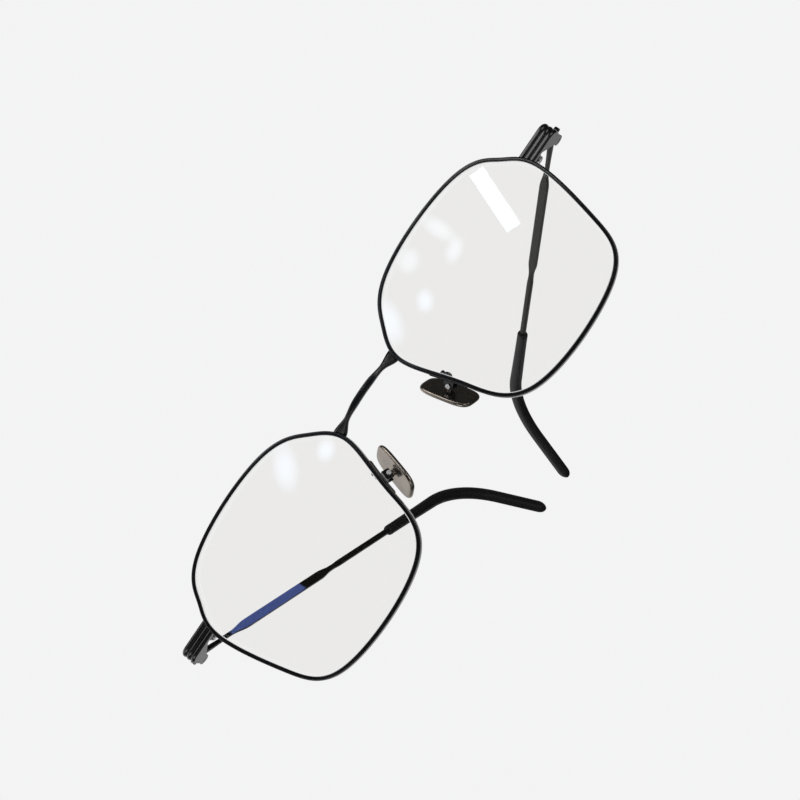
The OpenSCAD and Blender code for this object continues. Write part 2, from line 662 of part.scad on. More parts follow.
// PAD ARMS
function pad_point(x, y, z) = let (
    a = [x + lug_reach + pad_t / 2, y, z],
    b = [a.x * cos(pad_lean) - a.z * sin(pad_lean), a.y, a.z * cos(pad_lean) + a.x * sin(pad_lean)]
) [
    pad_x + b.x * cos(pad_splay) + b.y * sin(pad_splay),
    pad_back + b.y * cos(pad_splay) - b.x * sin(pad_splay), b.z - pad_drop
];
// Centre of the foot, on the back of the rim
function foot_at(v) = let (u = -lookup(v, nose_side))
    on_front(u, v, curve_y([u, v]) + rim_d / 2 + arm_d * 0.4 + seat);
// The wire: from the foot, out and back in a loop, then into the box
wire_points = [
    foot_at(-1.2), foot_at(-1.2) + [0.3, 0.8, 0.3], foot_at(-1.2) + [1.3, 1.8, 0.5],
    pad_point(box_out + 1.1, -0.9, 1.5), pad_point(box_out + 1.4, 0, 0.8),
    pad_point(box_out + 1, 0.1, 0), pad_point(box_out + arm_d / 2 + seat, 0, 0)
];
function spline_point(ps, t) = let (n = len(ps), i = min(floor(t), n - 2), w = spline_weights(t - i))
    w[0] * ps[max(0, i - 1)] + w[1] * ps[i] + w[2] * ps[i + 1] + w[3] * ps[min(n - 1, i + 2)];
module pad_arm(side) {
    steps = 3;
    count = (len(wire_points) - 1) * steps;
    line = [for (i = [0:count]) spline_point(wire_points, i / steps)];
    foot_steps = 8;
    color(satin_black) on_side(side) {
        skin([
            for (i = [0:count])
                let (
                    d = unit(line[min(count, i + 1)] - line[max(0, i - 1)]),
                    a = unit(cross(d, [0.2, 0, 1])), b = cross(a, d)
                )
                [for (q = section(arm_d, arm_d, 8, 1)) line[i] + a * q.x + b * q.y]
        ]);
        skin([
            for (i = [0:foot_steps])
                let (
                    f = i / foot_steps, k = (i == 0 || i == foot_steps) ? 0.6 : 1,
                    c = foot_at(foot_top - foot_l * f)
                )
                [for (q = section(foot_w * k, arm_d * 0.8 * k, 8, 0.7)) c + [q.x, q.y, 0]]
        ]);
    }
}

rim(1);  // rim_right
rim(-1);  // rim_left
lens(1);  // lens_right
lens(-1);  // lens_left
bridge();
end_piece(1);  // end_piece_right
end_piece(-1);  // end_piece_left
closing_block(1);  // closing_block_right
closing_block(-1);  // closing_block_left
closing_screw(1);  // closing_screw_right
closing_screw(-1);  // closing_screw_left
hinge_screw(1);  // hinge_screw_right
hinge_screw(-1);  // hinge_screw_left
temple(1);  // temple_right
temple(-1);  // temple_left
temple_tip(1);  // temple_tip_right
temple_tip(-1);  // temple_tip_left
pad_arm(1);  // pad_arm_right
pad_arm(-1);  // pad_arm_left
pad_box(1);  // pad_box_right
pad_box(-1);  // pad_box_left
pad_screw(1);  // pad_screw_right
pad_screw(-1);  // pad_screw_left
nose_pad(1);  // nose_pad_right
nose_pad(-1);  // nose_pad_left
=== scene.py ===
"""Dresses a pair of thin metal eyeglasses.

Rims, lenses, bridge, temples, sleeves, nose pads and their arms are smooth surfaces worked out
here. The ribbed end pieces, hinges, blocks and screws keep their solids and get their finishes.
"""

import json
import math
from typing import NamedTuple

import bmesh
import bpy
import numpy as np
from bpy.props import FloatProperty, FloatVectorProperty, IntProperty, PointerProperty
from mathutils import Euler, Matrix, Vector


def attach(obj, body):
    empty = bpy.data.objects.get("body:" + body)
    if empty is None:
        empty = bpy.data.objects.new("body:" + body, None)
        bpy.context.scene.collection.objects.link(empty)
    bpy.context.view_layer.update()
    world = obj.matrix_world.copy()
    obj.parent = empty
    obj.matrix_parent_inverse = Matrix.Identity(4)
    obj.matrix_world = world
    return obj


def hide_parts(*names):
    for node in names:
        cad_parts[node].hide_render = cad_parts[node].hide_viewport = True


bl_info = {
    "name": "Metal eyeglasses",
    "version": (1, 0, 0),
    "blender": (4, 5, 0),
    "location": "3D View > Sidebar > Eyeglasses",
    "description": "Builds the smooth pieces and the finishes of a pair of metal eyeglasses",
    "category": "Add Mesh",
}

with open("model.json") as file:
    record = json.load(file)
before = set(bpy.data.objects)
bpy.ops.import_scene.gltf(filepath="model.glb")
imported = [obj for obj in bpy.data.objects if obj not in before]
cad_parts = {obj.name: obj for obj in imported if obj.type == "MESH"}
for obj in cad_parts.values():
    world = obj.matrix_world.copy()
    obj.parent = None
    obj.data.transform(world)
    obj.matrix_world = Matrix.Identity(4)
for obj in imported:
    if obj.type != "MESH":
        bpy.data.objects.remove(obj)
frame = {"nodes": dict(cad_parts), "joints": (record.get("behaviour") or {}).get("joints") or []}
JOINTS = {joint["name"]: joint for joint in frame["joints"]}
SIDES = {"right": 1.0, "left": -1.0}

# Outline of the right lens: control points of a closed cubic B-spline, as shares of half the width
# and half the height, positive outwards and up
LENS_SHAPE = np.array([
    (1.067, 0.419), (0.849, 0.636), (0.713, 0.997), (-0.597, 1.032), (-0.838, 0.693),
    (-1.084, 0.411), (-0.835, -0.255), (-0.777, -1.032), (0.752, -1.02), (0.877, -0.52),
])


class Glow(NamedTuple):
    """A bright part of the studio that gloss sees: its direction in the camera's axes (right, up,
    back), the angles from there at which it is full and gone, and its strength."""
    toward: tuple
    full: float
    gone: float
    strength: float


class Reflection(NamedTuple):
    """A bright patch that a lens mirrors: the pixels of the 800-pixel picture where it starts and
    ends, its width in pixels, its strength, its colour and whether its edge is soft."""
    side: str
    start: tuple
    end: tuple
    width: float
    strength: float
    tint: tuple
    soft: bool


class Lamp(NamedTuple):
    """A lamp: its place in metres in the camera's axes, the side of its square and its power."""
    name: str
    place: tuple
    size: float
    power: float


# Shares of the lens width past which the outline is on its nose side and on its outer side
NOSE_SIDE, OUTER_SIDE = -0.3, 0.4
# Size of the picture in pixels
PICTURE = 800
# A lamp above the camera's left shoulder and a weaker one from its left
LAMPS = (Lamp("key", (-0.6, 0.8, 0.35), 0.5, 4.0), Lamp("side", (-0.9, -0.3, 0.1), 0.5, 2.0))
# The pale backdrop behind the pair, then the soft lights
GLOWS = (
    Glow((-0.2, -0.25, -0.95), 35, 62, 0.96),
    Glow((-0.95, -0.22, -0.1), 15, 45, 1.3),
    Glow((0.6, -0.5, 0.6), 5, 50, 0.3),
    Glow((-0.7, 0.6, 0.35), 4, 22, 6.0),
    Glow((0.45, 0.55, 0.7), 5, 22, 3.5),
    Glow((-0.33, -0.65, 0.68), 5, 22, 3.5),
)
WHITE, COOL, BLUISH = (1.0, 1.0, 1.0), (0.9, 0.95, 1.0), (0.72, 0.84, 1.0)
REFLECTIONS = (
    Reflection("right", (476, 171), (514, 228), 17, 5.0, WHITE, False),
    Reflection("right", (420, 217), (458, 241), 22, 3.4, COOL, True),
    Reflection("right", (461, 234), (448, 266), 20, 3.4, COOL, True),
    Reflection("right", (414, 246), (404, 276), 26, 3.2, COOL, True),
    Reflection("left", (282, 440), (290, 496), 30, 4.5, BLUISH, True),
    Reflection("left", (330, 436), (322, 464), 22, 4.5, BLUISH, True),
)


def length(name, default, description):
    """A length in metres."""
    return FloatProperty(name=name, default=default, description=description, min=0.0, precision=5,
                         subtype="DISTANCE", unit="LENGTH")


def angle(name, default, description):
    """An angle, written here in degrees."""
    return FloatProperty(name=name, default=math.radians(default), description=description,
                         subtype="ANGLE", unit="ROTATION")


def colour(name, default, description):
    """A linear colour."""
    return FloatVectorProperty(name=name, default=default, description=description, size=3, min=0.0,
                               max=1.0, subtype="COLOR")


def share(name, default, description):
    """A number from 0 to 1."""
    return FloatProperty(name=name, default=default, description=description, min=0.0, max=1.0,
                         subtype="FACTOR")


class RimSizes(bpy.types.PropertyGroup):
    lens_w: length("Lens width", 0.0494, "Width of the lens outline at the groove")
    lens_h: length("Lens height", 0.043, "Height of the lens outline at the groove")
    spacing: length("Lens spacing", 0.0696, "Distance between the centres of the lenses")
    lens_t: length("Lens thickness", 0.0018, "Thickness of a lens")
    base_curve: length("Base curve", 0.13, "Radius of the curve that the lenses follow")
    wire_w: length("Wire width", 0.0009, "Width of the rim wire seen from the front")
    wire_d: length("Wire depth", 0.002, "Depth of the rim wire")
    groove: length("Groove", 0.00034, "Depth of the groove that holds the lens")
    cut: length("Cut", 0.00015, "Gap between the two ends of a rim")
    seat: length("Seat", 0.00003, "Gap between two pieces that are pressed or brazed together")
    tilt: angle("Tilt", 2.5, "Lean of the lens plane, its top forward")
    hinge_back: length("Hinge back", 0.0056, "Distance of the hinge axis behind the lens centre")
    hinge_up: length("Hinge height", 0.0096, "Height of the hinge above the lens centre")


class BridgeSizes(bpy.types.PropertyGroup):
    up: length("Height", 0.0096, "Height of the bridge above the lens centre")
    mid_h: length("Middle", 0.0015, "Height of the bar at its middle")
    neck_h: length("Neck", 0.0011, "Height of the bar at its necks")
    foot_h: length("Foot", 0.0028, "Height of the bar where it meets a rim")
    bar_t: length("Thickness", 0.001, "Thickness of the bar")
    bow: length("Bow", 0.002, "How far the middle bows forward")
    rise: length("Rise", 0.0004, "How far the middle rises above the feet")
    chamfer: length("Chamfer", 0.00026, "Width of the chamfers along the front of the bar")


class TempleSizes(bpy.types.PropertyGroup):
    reach: length("Length", 0.14, "Length from the hinge axis to the end, along the centre line")
    bend_at: length("Bend", 0.103, "From the hinge axis to the start of the bend")
    bend_r: length("Bend radius", 0.027, "Radius of the bend over the ear")
    bend: angle("Bend angle", 48, "Angle that the bend turns down")
    blade_from: length("Blade start", 0.016, "From the hinge axis to the blade")
    blade_to: length("Blade end", 0.054, "From the hinge axis to the end of the blade")
    blade_ramp: length("Blade ramp", 0.0064, "Length over which the neck widens into the blade")
    waist_ramp: length("Waist ramp", 0.005, "Length over which the blade narrows to its waist")
    blade_h: length("Blade height", 0.0021, "Height of the flat blade")
    blade_t: length("Blade thickness", 0.0008, "Thickness of the flat blade")
    butt: length("Butt", 0.0015, "Thickness of the temple where it leaves the hinge")
    neck: length("Neck", 0.00095, "Thickness and height of the neck before the blade")
    waist: length("Waist", 0.00115, "Height of the waist behind the blade")
    bar_h: length("Bar height", 0.0014, "Height of the bar behind the waist")
    bar_t: length("Bar thickness", 0.0011, "Thickness of the bar behind the waist")
    core: length("Core", 0.0011, "Diameter of the wire core inside the sleeve")
    sleeve_from: length("Sleeve start", 0.0805, "From the hinge axis to the sleeve")
    mouth_h: length("Mouth height", 0.0025, "Height of the sleeve at its mouth")
    mouth_t: length("Mouth thickness", 0.0021, "Thickness of the sleeve at its mouth")
    sleeve_h: length("Sleeve height", 0.0034, "Height of the sleeve past the bend")
    sleeve_t: length("Sleeve thickness", 0.0024, "Thickness of the sleeve past the bend")
    solid: length("Solid end", 0.007, "Length of sleeve past the core")
    gap: length("Core clearance", 0.00004, "Clearance round the core")
    knuckle_d: length("Knuckle", 0.0025, "Diameter of a hinge knuckle")
    knuckle_h: length("Knuckle height", 0.0011, "Height of the knuckle on the temple")
    pin_d: length("Pin", 0.001, "Diameter of the hinge screw")
    run_gap: length("Running gap", 0.00004, "Clearance of a bore that turns on its pin")
    stop_reach: length("Stop reach", 0.00225, "Reach of the stop from the hinge axis")
    stop_w: length("Stop width", 0.001, "Width of the stop")
    blue_from: length("Blue start", 0.0122, "From the hinge axis to the blue tint")
    blue_to: length("Blue end", 0.0413, "From the hinge axis to the end of the blue tint")
    blue_soft: length("Blue edge", 0.0004, "How soft the end of the blue tint is")


class PadSizes(bpy.types.PropertyGroup):
    pad_l: length("Pad length", 0.0126, "Length of a nose pad")
    pad_w: length("Pad width", 0.0076, "Width of a nose pad")
    pad_t: length("Pad thickness", 0.0011, "Thickness of a nose pad")
    lug_w: length("Lug width", 0.0009, "Width of the lug, along its screw")
    lug_d: length("Lug diameter", 0.0013, "Diameter of the round end of the lug")
    lug_reach: length("Lug reach", 0.0013, "Distance from the pad to its screw")
    screw_d: length("Screw", 0.0007, "Diameter of the pad screw")
    box_wall: length("Box wall", 0.0004, "Wall of the box that holds the lug")
    out: length("Out", 0.0101, "Distance of a pad centre from the middle of the nose")
    back: length("Back", 0.0066, "Distance of a pad centre behind the lens centre")
    drop: length("Drop", 0.0032, "Distance of a pad centre below the lens centre")
    splay: angle("Splay", 34, "How far the back edge of a pad turns out")
    lean: angle("Lean", 16, "How far the top of a pad leans in")
    arm_d: length("Arm wire", 0.00085, "Diameter of the arm wire")
    foot_w: length("Foot width", 0.0013, "Width of the arm's foot across the rim")
    foot_l: length("Foot length", 0.0088, "Length of the arm's foot along the rim")
    foot_top: length("Foot top", 0.0013, "Height of the top of the foot above the lens centre")


class Finishes(bpy.types.PropertyGroup):
    coating: colour("Coating", (0.0012, 0.0013, 0.0019), "Satin black coating on the metal")
    # Painted sheen: a lighter coating that random blotches mix into the satin black
    coating_painted_sheen: colour("Coating, painted sheen", (0.006, 0.006, 0.0072), "Coating where it catches light")
    olive: colour("Olive", (0.014, 0.0146, 0.0117), "Coating on the right blade")
    dark_olive: colour("Dark olive", (0.0036, 0.0034, 0.0027), "Coating on the left temple")
    blue: colour("Blue", (0.056, 0.09, 0.29), "Tint on the inner face of the left blade")
    sleeve: colour("Sleeve", (0.0034, 0.0034, 0.0039), "Matte sleeve on a temple")
    champagne: colour("Champagne", (0.27, 0.235, 0.2), "Satin metal of the nose pads")
    steel: colour("Steel", (0.72, 0.72, 0.72), "Bright turned screws")
    glass: colour("Glass", (0.985, 0.985, 0.976), "Clear lens")
    # Kept dark: the painted glow of lens_edge makes the ground edge pale
    ground_edge: colour("Ground edge", (0.2, 0.203, 0.206), "Ground edge of a lens")
    gloss: share("Coating roughness", 0.22, "Roughness of the satin coating")


class StageSettings(bpy.types.PropertyGroup):
    focal: FloatProperty(name="Focal length", default=97.4, description="Lens of the camera, in mm")
    sensor: FloatProperty(name="Sensor", default=36.0, description="Sensor of the camera, in mm")
    place: FloatVectorProperty(name="Camera place", default=(0.0279, -0.43178, -0.12565), size=3,
                               description="Place of the camera, from the lens centre line",
                               subtype="TRANSLATION", unit="LENGTH", precision=5)
    turn: FloatVectorProperty(name="Camera turn", size=3, subtype="EULER", unit="ROTATION",
                              default=[math.radians(a) for a in (117.24, 51.518, 25.23)],
                              description="Turn of the camera, from the lens plane")
    backdrop: colour("Backdrop", (0.9, 0.9, 0.905), "Pale backdrop and floor")
    dim: share("Studio", 0.04, "How bright the studio is, seen in gloss, away from its soft lights")
    floor_r: length("Floor radius", 1.6, "Radius of the floor")
    panel_reach: length("Panel reach", 0.1, "Distance from a lens to the panels that it mirrors")


class Eyeglasses(bpy.types.PropertyGroup):
    rim: PointerProperty(type=RimSizes)
    bridge: PointerProperty(type=BridgeSizes)
    temple: PointerProperty(type=TempleSizes)
    pad: PointerProperty(type=PadSizes)
    finish: PointerProperty(type=Finishes)
    stage: PointerProperty(type=StageSettings)
    around: IntProperty(name="Rim steps", default=480, min=80, description="Steps round a rim")


def settings():
    """The sizes and finishes of the scene."""
    return bpy.context.scene.eyeglasses


# PLACES

def front_matrix():
    """Matrix from the lens plane's frame to the row frame. The lens plane leans back with the hinge
    axis, and its origin lies hinge_back in front of the hinge and hinge_up below it."""
    rim = settings().rim
    hinge = JOINTS["temple_right_fold"]
    up = np.array(hinge["axis"]) / np.linalg.norm(hinge["axis"])
    back = np.cross(up, (1.0, 0.0, 0.0))
    origin = np.array(hinge["pos_m"]) - back * rim.hinge_back - up * rim.hinge_up
    matrix = np.eye(4)
    matrix[:3, :3] = np.stack([(1.0, 0.0, 0.0), back, up], axis=1)
    matrix[:3, 3] = (0.0, origin[1], origin[2])
    return matrix


def placed(points, side=1.0):
    """Points of the right side's lens frame, mirrored for the left side, in the row frame."""
    matrix = front_matrix()
    return (points * (side, 1.0, 1.0)) @ matrix[:3, :3].T + matrix[:3, 3]


def turned(points, axis, turn):
    """Points turned about one axis of their own frame."""
    c, s = math.cos(turn), math.sin(turn)
    i, j = {"x": (1, 2), "y": (2, 0), "z": (0, 1)}[axis]
    out = np.array(points, float)
    out[..., i] = c * points[..., i] - s * points[..., j]
    out[..., j] = s * points[..., i] + c * points[..., j]
    return out


# SURFACES

def ease(x, a, b):
    """Smooth step from 0 at a to 1 at b: 3f^2 - 2f^3 of the share f between them."""
    f = np.clip((np.asarray(x, float) - a) / (b - a), 0, 1)
    return f * f * (3 - 2 * f)


def points_of(*coordinates):
    """Points from their coordinates, each a number or an array."""
    return np.stack(np.broadcast_arrays(*coordinates), axis=-1)


def stepped(first, *steps):
    """A size that is first, and moves on to each step's value as the step's share goes to 1."""
    size = before = first
    for value, reached in steps:
        size = size + (value - before) * reached
        before = value
    return size


def spline_weights(f):
    """Weights of a uniform cubic B-spline at the share f of a span."""
    return points_of(
        (1 - f) ** 3, 3 * f**3 - 6 * f**2 + 4, -3 * f**3 + 3 * f**2 + 3 * f + 1, f**3) / 6


def spline(points, t):
    """Open cubic B-spline with its end points doubled, at parameters t from 0 to the last one's."""
    points = np.asarray(points, float)
    i = np.minimum(np.floor(t).astype(int), len(points) - 2)
    w = spline_weights(t - i)
    near = [np.clip(i + k, 0, len(points) - 1) for k in (-1, 0, 1, 2)]
    return sum(w[:, k, None] * points[near[k]] for k in range(4))


def outline(t):
    """The lens outline at parameters t: a closed cubic B-spline of LENS_SHAPE."""
    rim = settings().rim
    i = np.floor(t).astype(int)
    w = spline_weights(t - i)
    p = sum(w[:, k, None] * LENS_SHAPE[(i + k - 1) % len(LENS_SHAPE)] for k in range(4))
    return p * (rim.lens_w / 2, rim.lens_h / 2)


def outline_slope(t, nudge=0.01):
    """Slope of the outline, from the points a nudge to either side."""
    return (outline(t + nudge) - outline(t - nudge)) / (2 * nudge)


def outward(t):
    """Outward direction of the outline in its own plane."""
    d = outline_slope(t)
    d /= np.linalg.norm(d, axis=1)[:, None]
    return points_of(d[:, 1], -d[:, 0])


def curve_back(p):
    """How far a point of the lens plane lies back: the sphere x^2 + z^2 over twice its radius."""
    rim = settings().rim
    mean = (rim.lens_w + rim.lens_h) / 4
    return (p[..., 0] ** 2 + p[..., 1] ** 2 - mean**2) / (2 * rim.base_curve)


def on_front(u, v, b):
    """A point of the tilted right lens plane: u outwards, v up and b back."""
    rim = settings().rim
    c, s = math.cos(rim.tilt), math.sin(rim.tilt)
    return points_of(rim.spacing / 2 + u, b * c - v * s, b * s + v * c)


def outline_x(height, inner=False, off=0.0):
    """Sideways distance from the lens centre, at a height, of the line that runs a distance off the
    outline, on its outer or nose side."""
    t = np.linspace(0, len(LENS_SHAPE), 2000, endpoint=False)
    p = outline(t) + outward(t) * off
    share_x = p[:, 0] / settings().rim.lens_w
    keep = share_x < NOSE_SIDE if inner else share_x > OUTER_SIDE
    order = np.argsort(p[keep, 1])
    return np.interp(height, p[keep, 1][order], p[keep, 0][order])


def rounded(corners, radii, steps=4):
    """A closed profile whose corners are quadratic arcs that start a radius before each corner."""
    corners = np.asarray(corners, float)
    before = np.roll(corners, 1, axis=0) - corners
    after = np.roll(corners, -1, axis=0) - corners
    before /= np.linalg.norm(before, axis=1)[:, None]
    after /= np.linalg.norm(after, axis=1)[:, None]
    r = np.broadcast_to(radii, len(corners))[:, None, None]
    f = np.linspace(0, 1, steps + 1)[None, :, None]
    p = corners[:, None]
    start, end = p + before[:, None] * r, p + after[:, None] * r
    return ((1 - f) ** 2 * start + 2 * f * (1 - f) * p + f**2 * end).reshape(-1, 2)


def bar_section(w, h, power, count=36):
    """A superellipse w by h: each axis is the cosine or sine to a power, from 1, round, to 0.2,
    square."""
    a = 2 * math.pi * (np.arange(count) + 0.5) / count
    w, h, power = (np.asarray(x, float)[..., None] for x in (w, h, power))
    return points_of(w / 2 * np.sign(np.cos(a)) * np.abs(np.cos(a)) ** power,
                     h / 2 * np.sign(np.sin(a)) * np.abs(np.sin(a)) ** power)


def grid_faces(rows, columns, closed=False, caps=True):
    """Quads between rows of points that run round, with flat ends unless the rows close up."""
    i = np.arange(rows if closed else rows - 1)[:, None]
    j = np.arange(columns)[None, :]
    a, b = i * columns + j, i * columns + (j + 1) % columns
    c, d = (i + 1) % rows * columns + j, (i + 1) % rows * columns + (j + 1) % columns
    faces = np.stack([a, b, d, c], axis=-1).reshape(-1, 4).tolist()
    if caps and not closed:
        faces.append(list(range(columns))[::-1])
        faces.append([(rows - 1) * columns + k for k in range(columns)])
    return faces


def joined(*parts):
    """Several (points, faces) pairs as one pair."""
    points, faces, start = [], [], 0
    for p, f in parts:
        points.append(p)
        faces += [[k + start for k in face] for face in f]
        start += len(p)
    return np.concatenate(points), faces


def loft(rings, closed=False, caps=True):
    """Rows of points as (points, faces)."""
    return rings.reshape(-1, 3), grid_faces(len(rings), len(rings[0]), closed, caps)


def face_outwards(mesh):
    """Turns the faces of a mesh of closed shells round where they point inwards."""
    work = bmesh.new()
    work.from_mesh(mesh)
    bmesh.ops.recalc_face_normals(work, faces=work.faces)
    work.to_mesh(mesh)
    work.free()


def mesh_of(name, points, faces, material):
    """A mesh from points and faces."""
    mesh = bpy.data.meshes.new(name)
    mesh.from_pydata([tuple(p) for p in points], [], faces)
    mesh.materials.append(material)
    return mesh


def linked(name, data):
    """A new object in the scene."""
    thing = bpy.data.objects.new(name, data)
    bpy.context.scene.collection.objects.link(thing)
    return thing


def new_piece(name, shape, material, body, node, sharp=35.0):
    """A smooth mesh object from (points, faces) in the row frame, riding on a body and standing for
    a node. Edges past a sharp angle in degrees stay sharp."""
    mesh = mesh_of(name, *shape, material)
    mesh.validate()
    face_outwards(mesh)
    mesh.shade_smooth()
    mesh.set_sharp_from_angle(angle=math.radians(sharp))
    piece = linked(name, mesh)
    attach(piece, body)
    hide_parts(node)
    return piece


# MATERIALS

def feed(tree, node, inputs):
    """Gives inputs of a node, by name or number, their links or values. A colour gets its alpha."""
    for key, value in inputs.items():
        socket = node.inputs[key]
        if isinstance(value, bpy.types.NodeSocket):
            tree.links.new(value, socket)
        else:
            socket.default_value = (*value, 1.0) if socket.type == "RGBA" else value


def add(tree, kind, inputs=None, **options):
    """A new node with its options and inputs."""
    node = tree.nodes.new("ShaderNode" + kind)
    for name, option in options.items():
        setattr(node, name, option)
    feed(tree, node, inputs or {})
    return node


def material_of(name, build, *values):
    """The material of a name, whose nodes a function makes the first time that it is asked for."""
    material = bpy.data.materials.get(name)
    if material is None:
        material = bpy.data.materials.new(name)
        material.use_nodes = True
        build(material.node_tree, *values)
    return material


def coat(tree, inputs):
    """Gives a material's Principled shader its inputs."""
    shader = tree.nodes["Principled BSDF"]
    feed(tree, shader, inputs)
    return shader


def show(tree, shader, output="Material Output"):
    """Makes a shader the surface of a material or of the world."""
    feed(tree, tree.nodes[output], {"Surface": shader.outputs[0]})


def blended(tree, factor, first, second):
    """A mix of two shaders by a factor."""
    return add(tree, "MixShader", {"Fac": factor, 1: first.outputs[0], 2: second.outputs[0]})


def noise(tree, scale, detail=3.0, stretch=(1.0, 1.0, 1.0)):
    """Noise on Object coordinates, stretched along the axes."""
    where = add(tree, "TexCoord").outputs["Object"]
    place = add(tree, "Mapping", {"Vector": where, "Scale": stretch}).outputs["Vector"]
    return add(tree, "TexNoise", {"Vector": place, "Scale": scale, "Detail": detail}).outputs["Fac"]


def spread(tree, value, low, high, start=0.3, end=0.7):
    """A value's range from start to end, spread over low to high."""
    ends = {"Value": value, "From Min": start, "From Max": end, "To Min": low, "To Max": high}
    return add(tree, "MapRange", ends).outputs["Result"]


def calculated(tree, operation, first, second):
    """The result of a sum on two values, each of which may be a plain number."""
    return add(tree, "Math", {0: first, 1: second}, operation=operation).outputs["Value"]


def along(tree, vector, direction):
    """How far a vector runs along a fixed direction."""
    inputs = {0: vector, 1: direction}
    return add(tree, "VectorMath", inputs, operation="DOT_PRODUCT").outputs["Value"]


def inside_lens(tree, path):
    """1 for a ray from inside a lens, which has been let through an odd number of faces, else 0."""
    return calculated(tree, "MODULO", path.outputs["Transmission Depth"], 2.0)


def mixed(tree, factor, first, second):
    """A mix of two colours by a factor."""
    inputs = {"Factor": factor, 6: first, 7: second}
    return add(tree, "Mix", inputs, data_type="RGBA").outputs[2]


def varied(tree, grain, base, least):
    """A colour that runs with a grain from a share of itself up to itself."""
    return mixed(tree, spread(tree, grain, 0.0, 1.0), [least * c for c in base], base)


def relief(tree, height, distance, strength):
    """Normals of fine relief."""
    inputs = {"Height": height, "Distance": distance, "Strength": strength}
    return add(tree, "Bump", inputs).outputs["Normal"]


def satin_coating(tree):
    """Satin black coating: fine speckle, soft blotches of a lighter coating that are a painted
    sheen, and a slightly uneven gloss.
    """
    finish = settings().finish
    speckle = noise(tree, scale=9000, detail=2)
    # Painted sheen: random blotches that mix the lighter coating into the base colour
    sheen = spread(tree, noise(tree, scale=260, detail=4), 0.0, 0.7)
    coat(tree, {"Base Color": mixed(tree, sheen, finish.coating, finish.coating_painted_sheen),
                "Roughness": spread(tree, speckle, finish.gloss - 0.03, finish.gloss + 0.04),
                "Specular IOR Level": 0.55,
                "Normal": relief(tree, speckle, distance=0.000003, strength=0.3)})


def satin():
    """The material of the satin black coating."""
    return material_of("satin_coating", satin_coating)


def blade_finish(tree, side):
    """Brushed coating on a temple. The blade of the right one is a lighter olive grey. The inner
    face of the left one is blue behind the lens, up to a sharp line across the blade."""
    finish, temple = settings().finish, settings().temple
    left = side == "left"
    grain = noise(tree, scale=2600, stretch=(1.0, 0.35, 2.4))
    where = add(tree, "TexCoord").outputs
    back = add(tree, "SeparateXYZ", {"Vector": where["Object"]}).outputs["Y"]
    ends = (temple.blue_from, temple.blue_to) if left else (0.0, temple.blade_to)
    place = at_hinge(np.array([[0.0, end, 0.0] for end in ends]), SIDES[side])
    start, line = float(place[0, 1]), float(place[1, 1])
    soft = temple.blue_soft if left else temple.waist_ramp
    within = spread(tree, back, 1.0, 0.0, line - soft, line + soft)
    tone = varied(tree, grain, finish.dark_olive if left else finish.olive, 0.7)
    if left:
        tone = mixed(tree, within, tone, varied(tree, grain, finish.blue, 0.8))
        past = spread(tree, back, 0.0, 1.0, start - soft, start + soft)
        tone = mixed(tree, past, finish.coating, tone)
    else:
        tone = mixed(tree, within, finish.dark_olive, tone)
    inward = along(tree, where["Normal"], (-SIDES[side], 0.0, 0.0))
    facing = spread(tree, inward, 0.0, 1.0, 0.1, 0.35)
    coat(tree, {"Base Color": mixed(tree, facing, finish.coating, tone),
                "Roughness": spread(tree, grain, 0.36, 0.5),
                "Specular IOR Level": 0.2,
                "Normal": relief(tree, grain, distance=0.00001, strength=0.5)})


def sleeve_finish(tree):
    """Matte black sleeve: fine moulded grain."""
    grain = noise(tree, scale=5200, detail=4)
    coat(tree, {"Base Color": varied(tree, noise(tree, scale=180), settings().finish.sleeve, 0.75),
                "Roughness": spread(tree, grain, 0.5, 0.64),
                "Specular IOR Level": 0.3,
                "Normal": relief(tree, grain, distance=0.00002, strength=0.6)})


def pad_finish(tree):
    """Satin champagne metal with a fine brushed grain."""
    grain, cloud = noise(tree, scale=3000, stretch=(1.0, 1.0, 0.2)), noise(tree, scale=220)
    coat(tree, {"Base Color": varied(tree, cloud, settings().finish.champagne, 0.72),
                "Roughness": spread(tree, grain, 0.22, 0.3),
                "Metallic": 1.0,
                "Normal": relief(tree, grain, distance=0.000003, strength=0.3)})


def steel_finish(tree):
    """Bright turned steel for the small screws."""
    grain = noise(tree, scale=7000, detail=2)
    coat(tree, {"Base Color": varied(tree, grain, settings().finish.steel, 0.8),
                "Roughness": spread(tree, grain, 0.18, 0.32),
                "Metallic": 1.0})


def lens_glass(tree):
    """Clear coated lens: faint specks of dust, a cool tint in its reflection, and no dark shadow:
    light for shadows and from bounces passes straight through."""
    glass = settings().finish.glass
    dust = noise(tree, scale=600, detail=2)
    shader = coat(tree, {"Base Color": glass,
                         "Transmission Weight": 1.0,
                         "IOR": 1.5,
                         "Specular Tint": (0.86, 0.93, 1.0),
                         "Roughness": spread(tree, dust, 0.0, 0.012, 0.62, 0.8)})
    clear = add(tree, "BsdfTransparent", {"Color": glass})
    path = add(tree, "LightPath").outputs
    either = calculated(tree, "MAXIMUM", path["Is Shadow Ray"], path["Is Reflection Ray"])
    show(tree, blended(tree, either, shader, clear))


def lens_edge(tree):
    """Ground edge of a lens: rough glass with a dark base colour and a painted glow, a white
    emission that stands in for the light which the lens gathers, so that it looks pale.
    """
    grain = noise(tree, scale=4000)
    coat(tree, {"Base Color": varied(tree, grain, settings().finish.ground_edge, 0.95),
                "Roughness": spread(tree, grain, 0.55, 0.75),
                # Painted glow: emission in place of the light that the lens gathers
                "Emission Color": WHITE,
                "Emission Strength": 0.6})


# PIECES

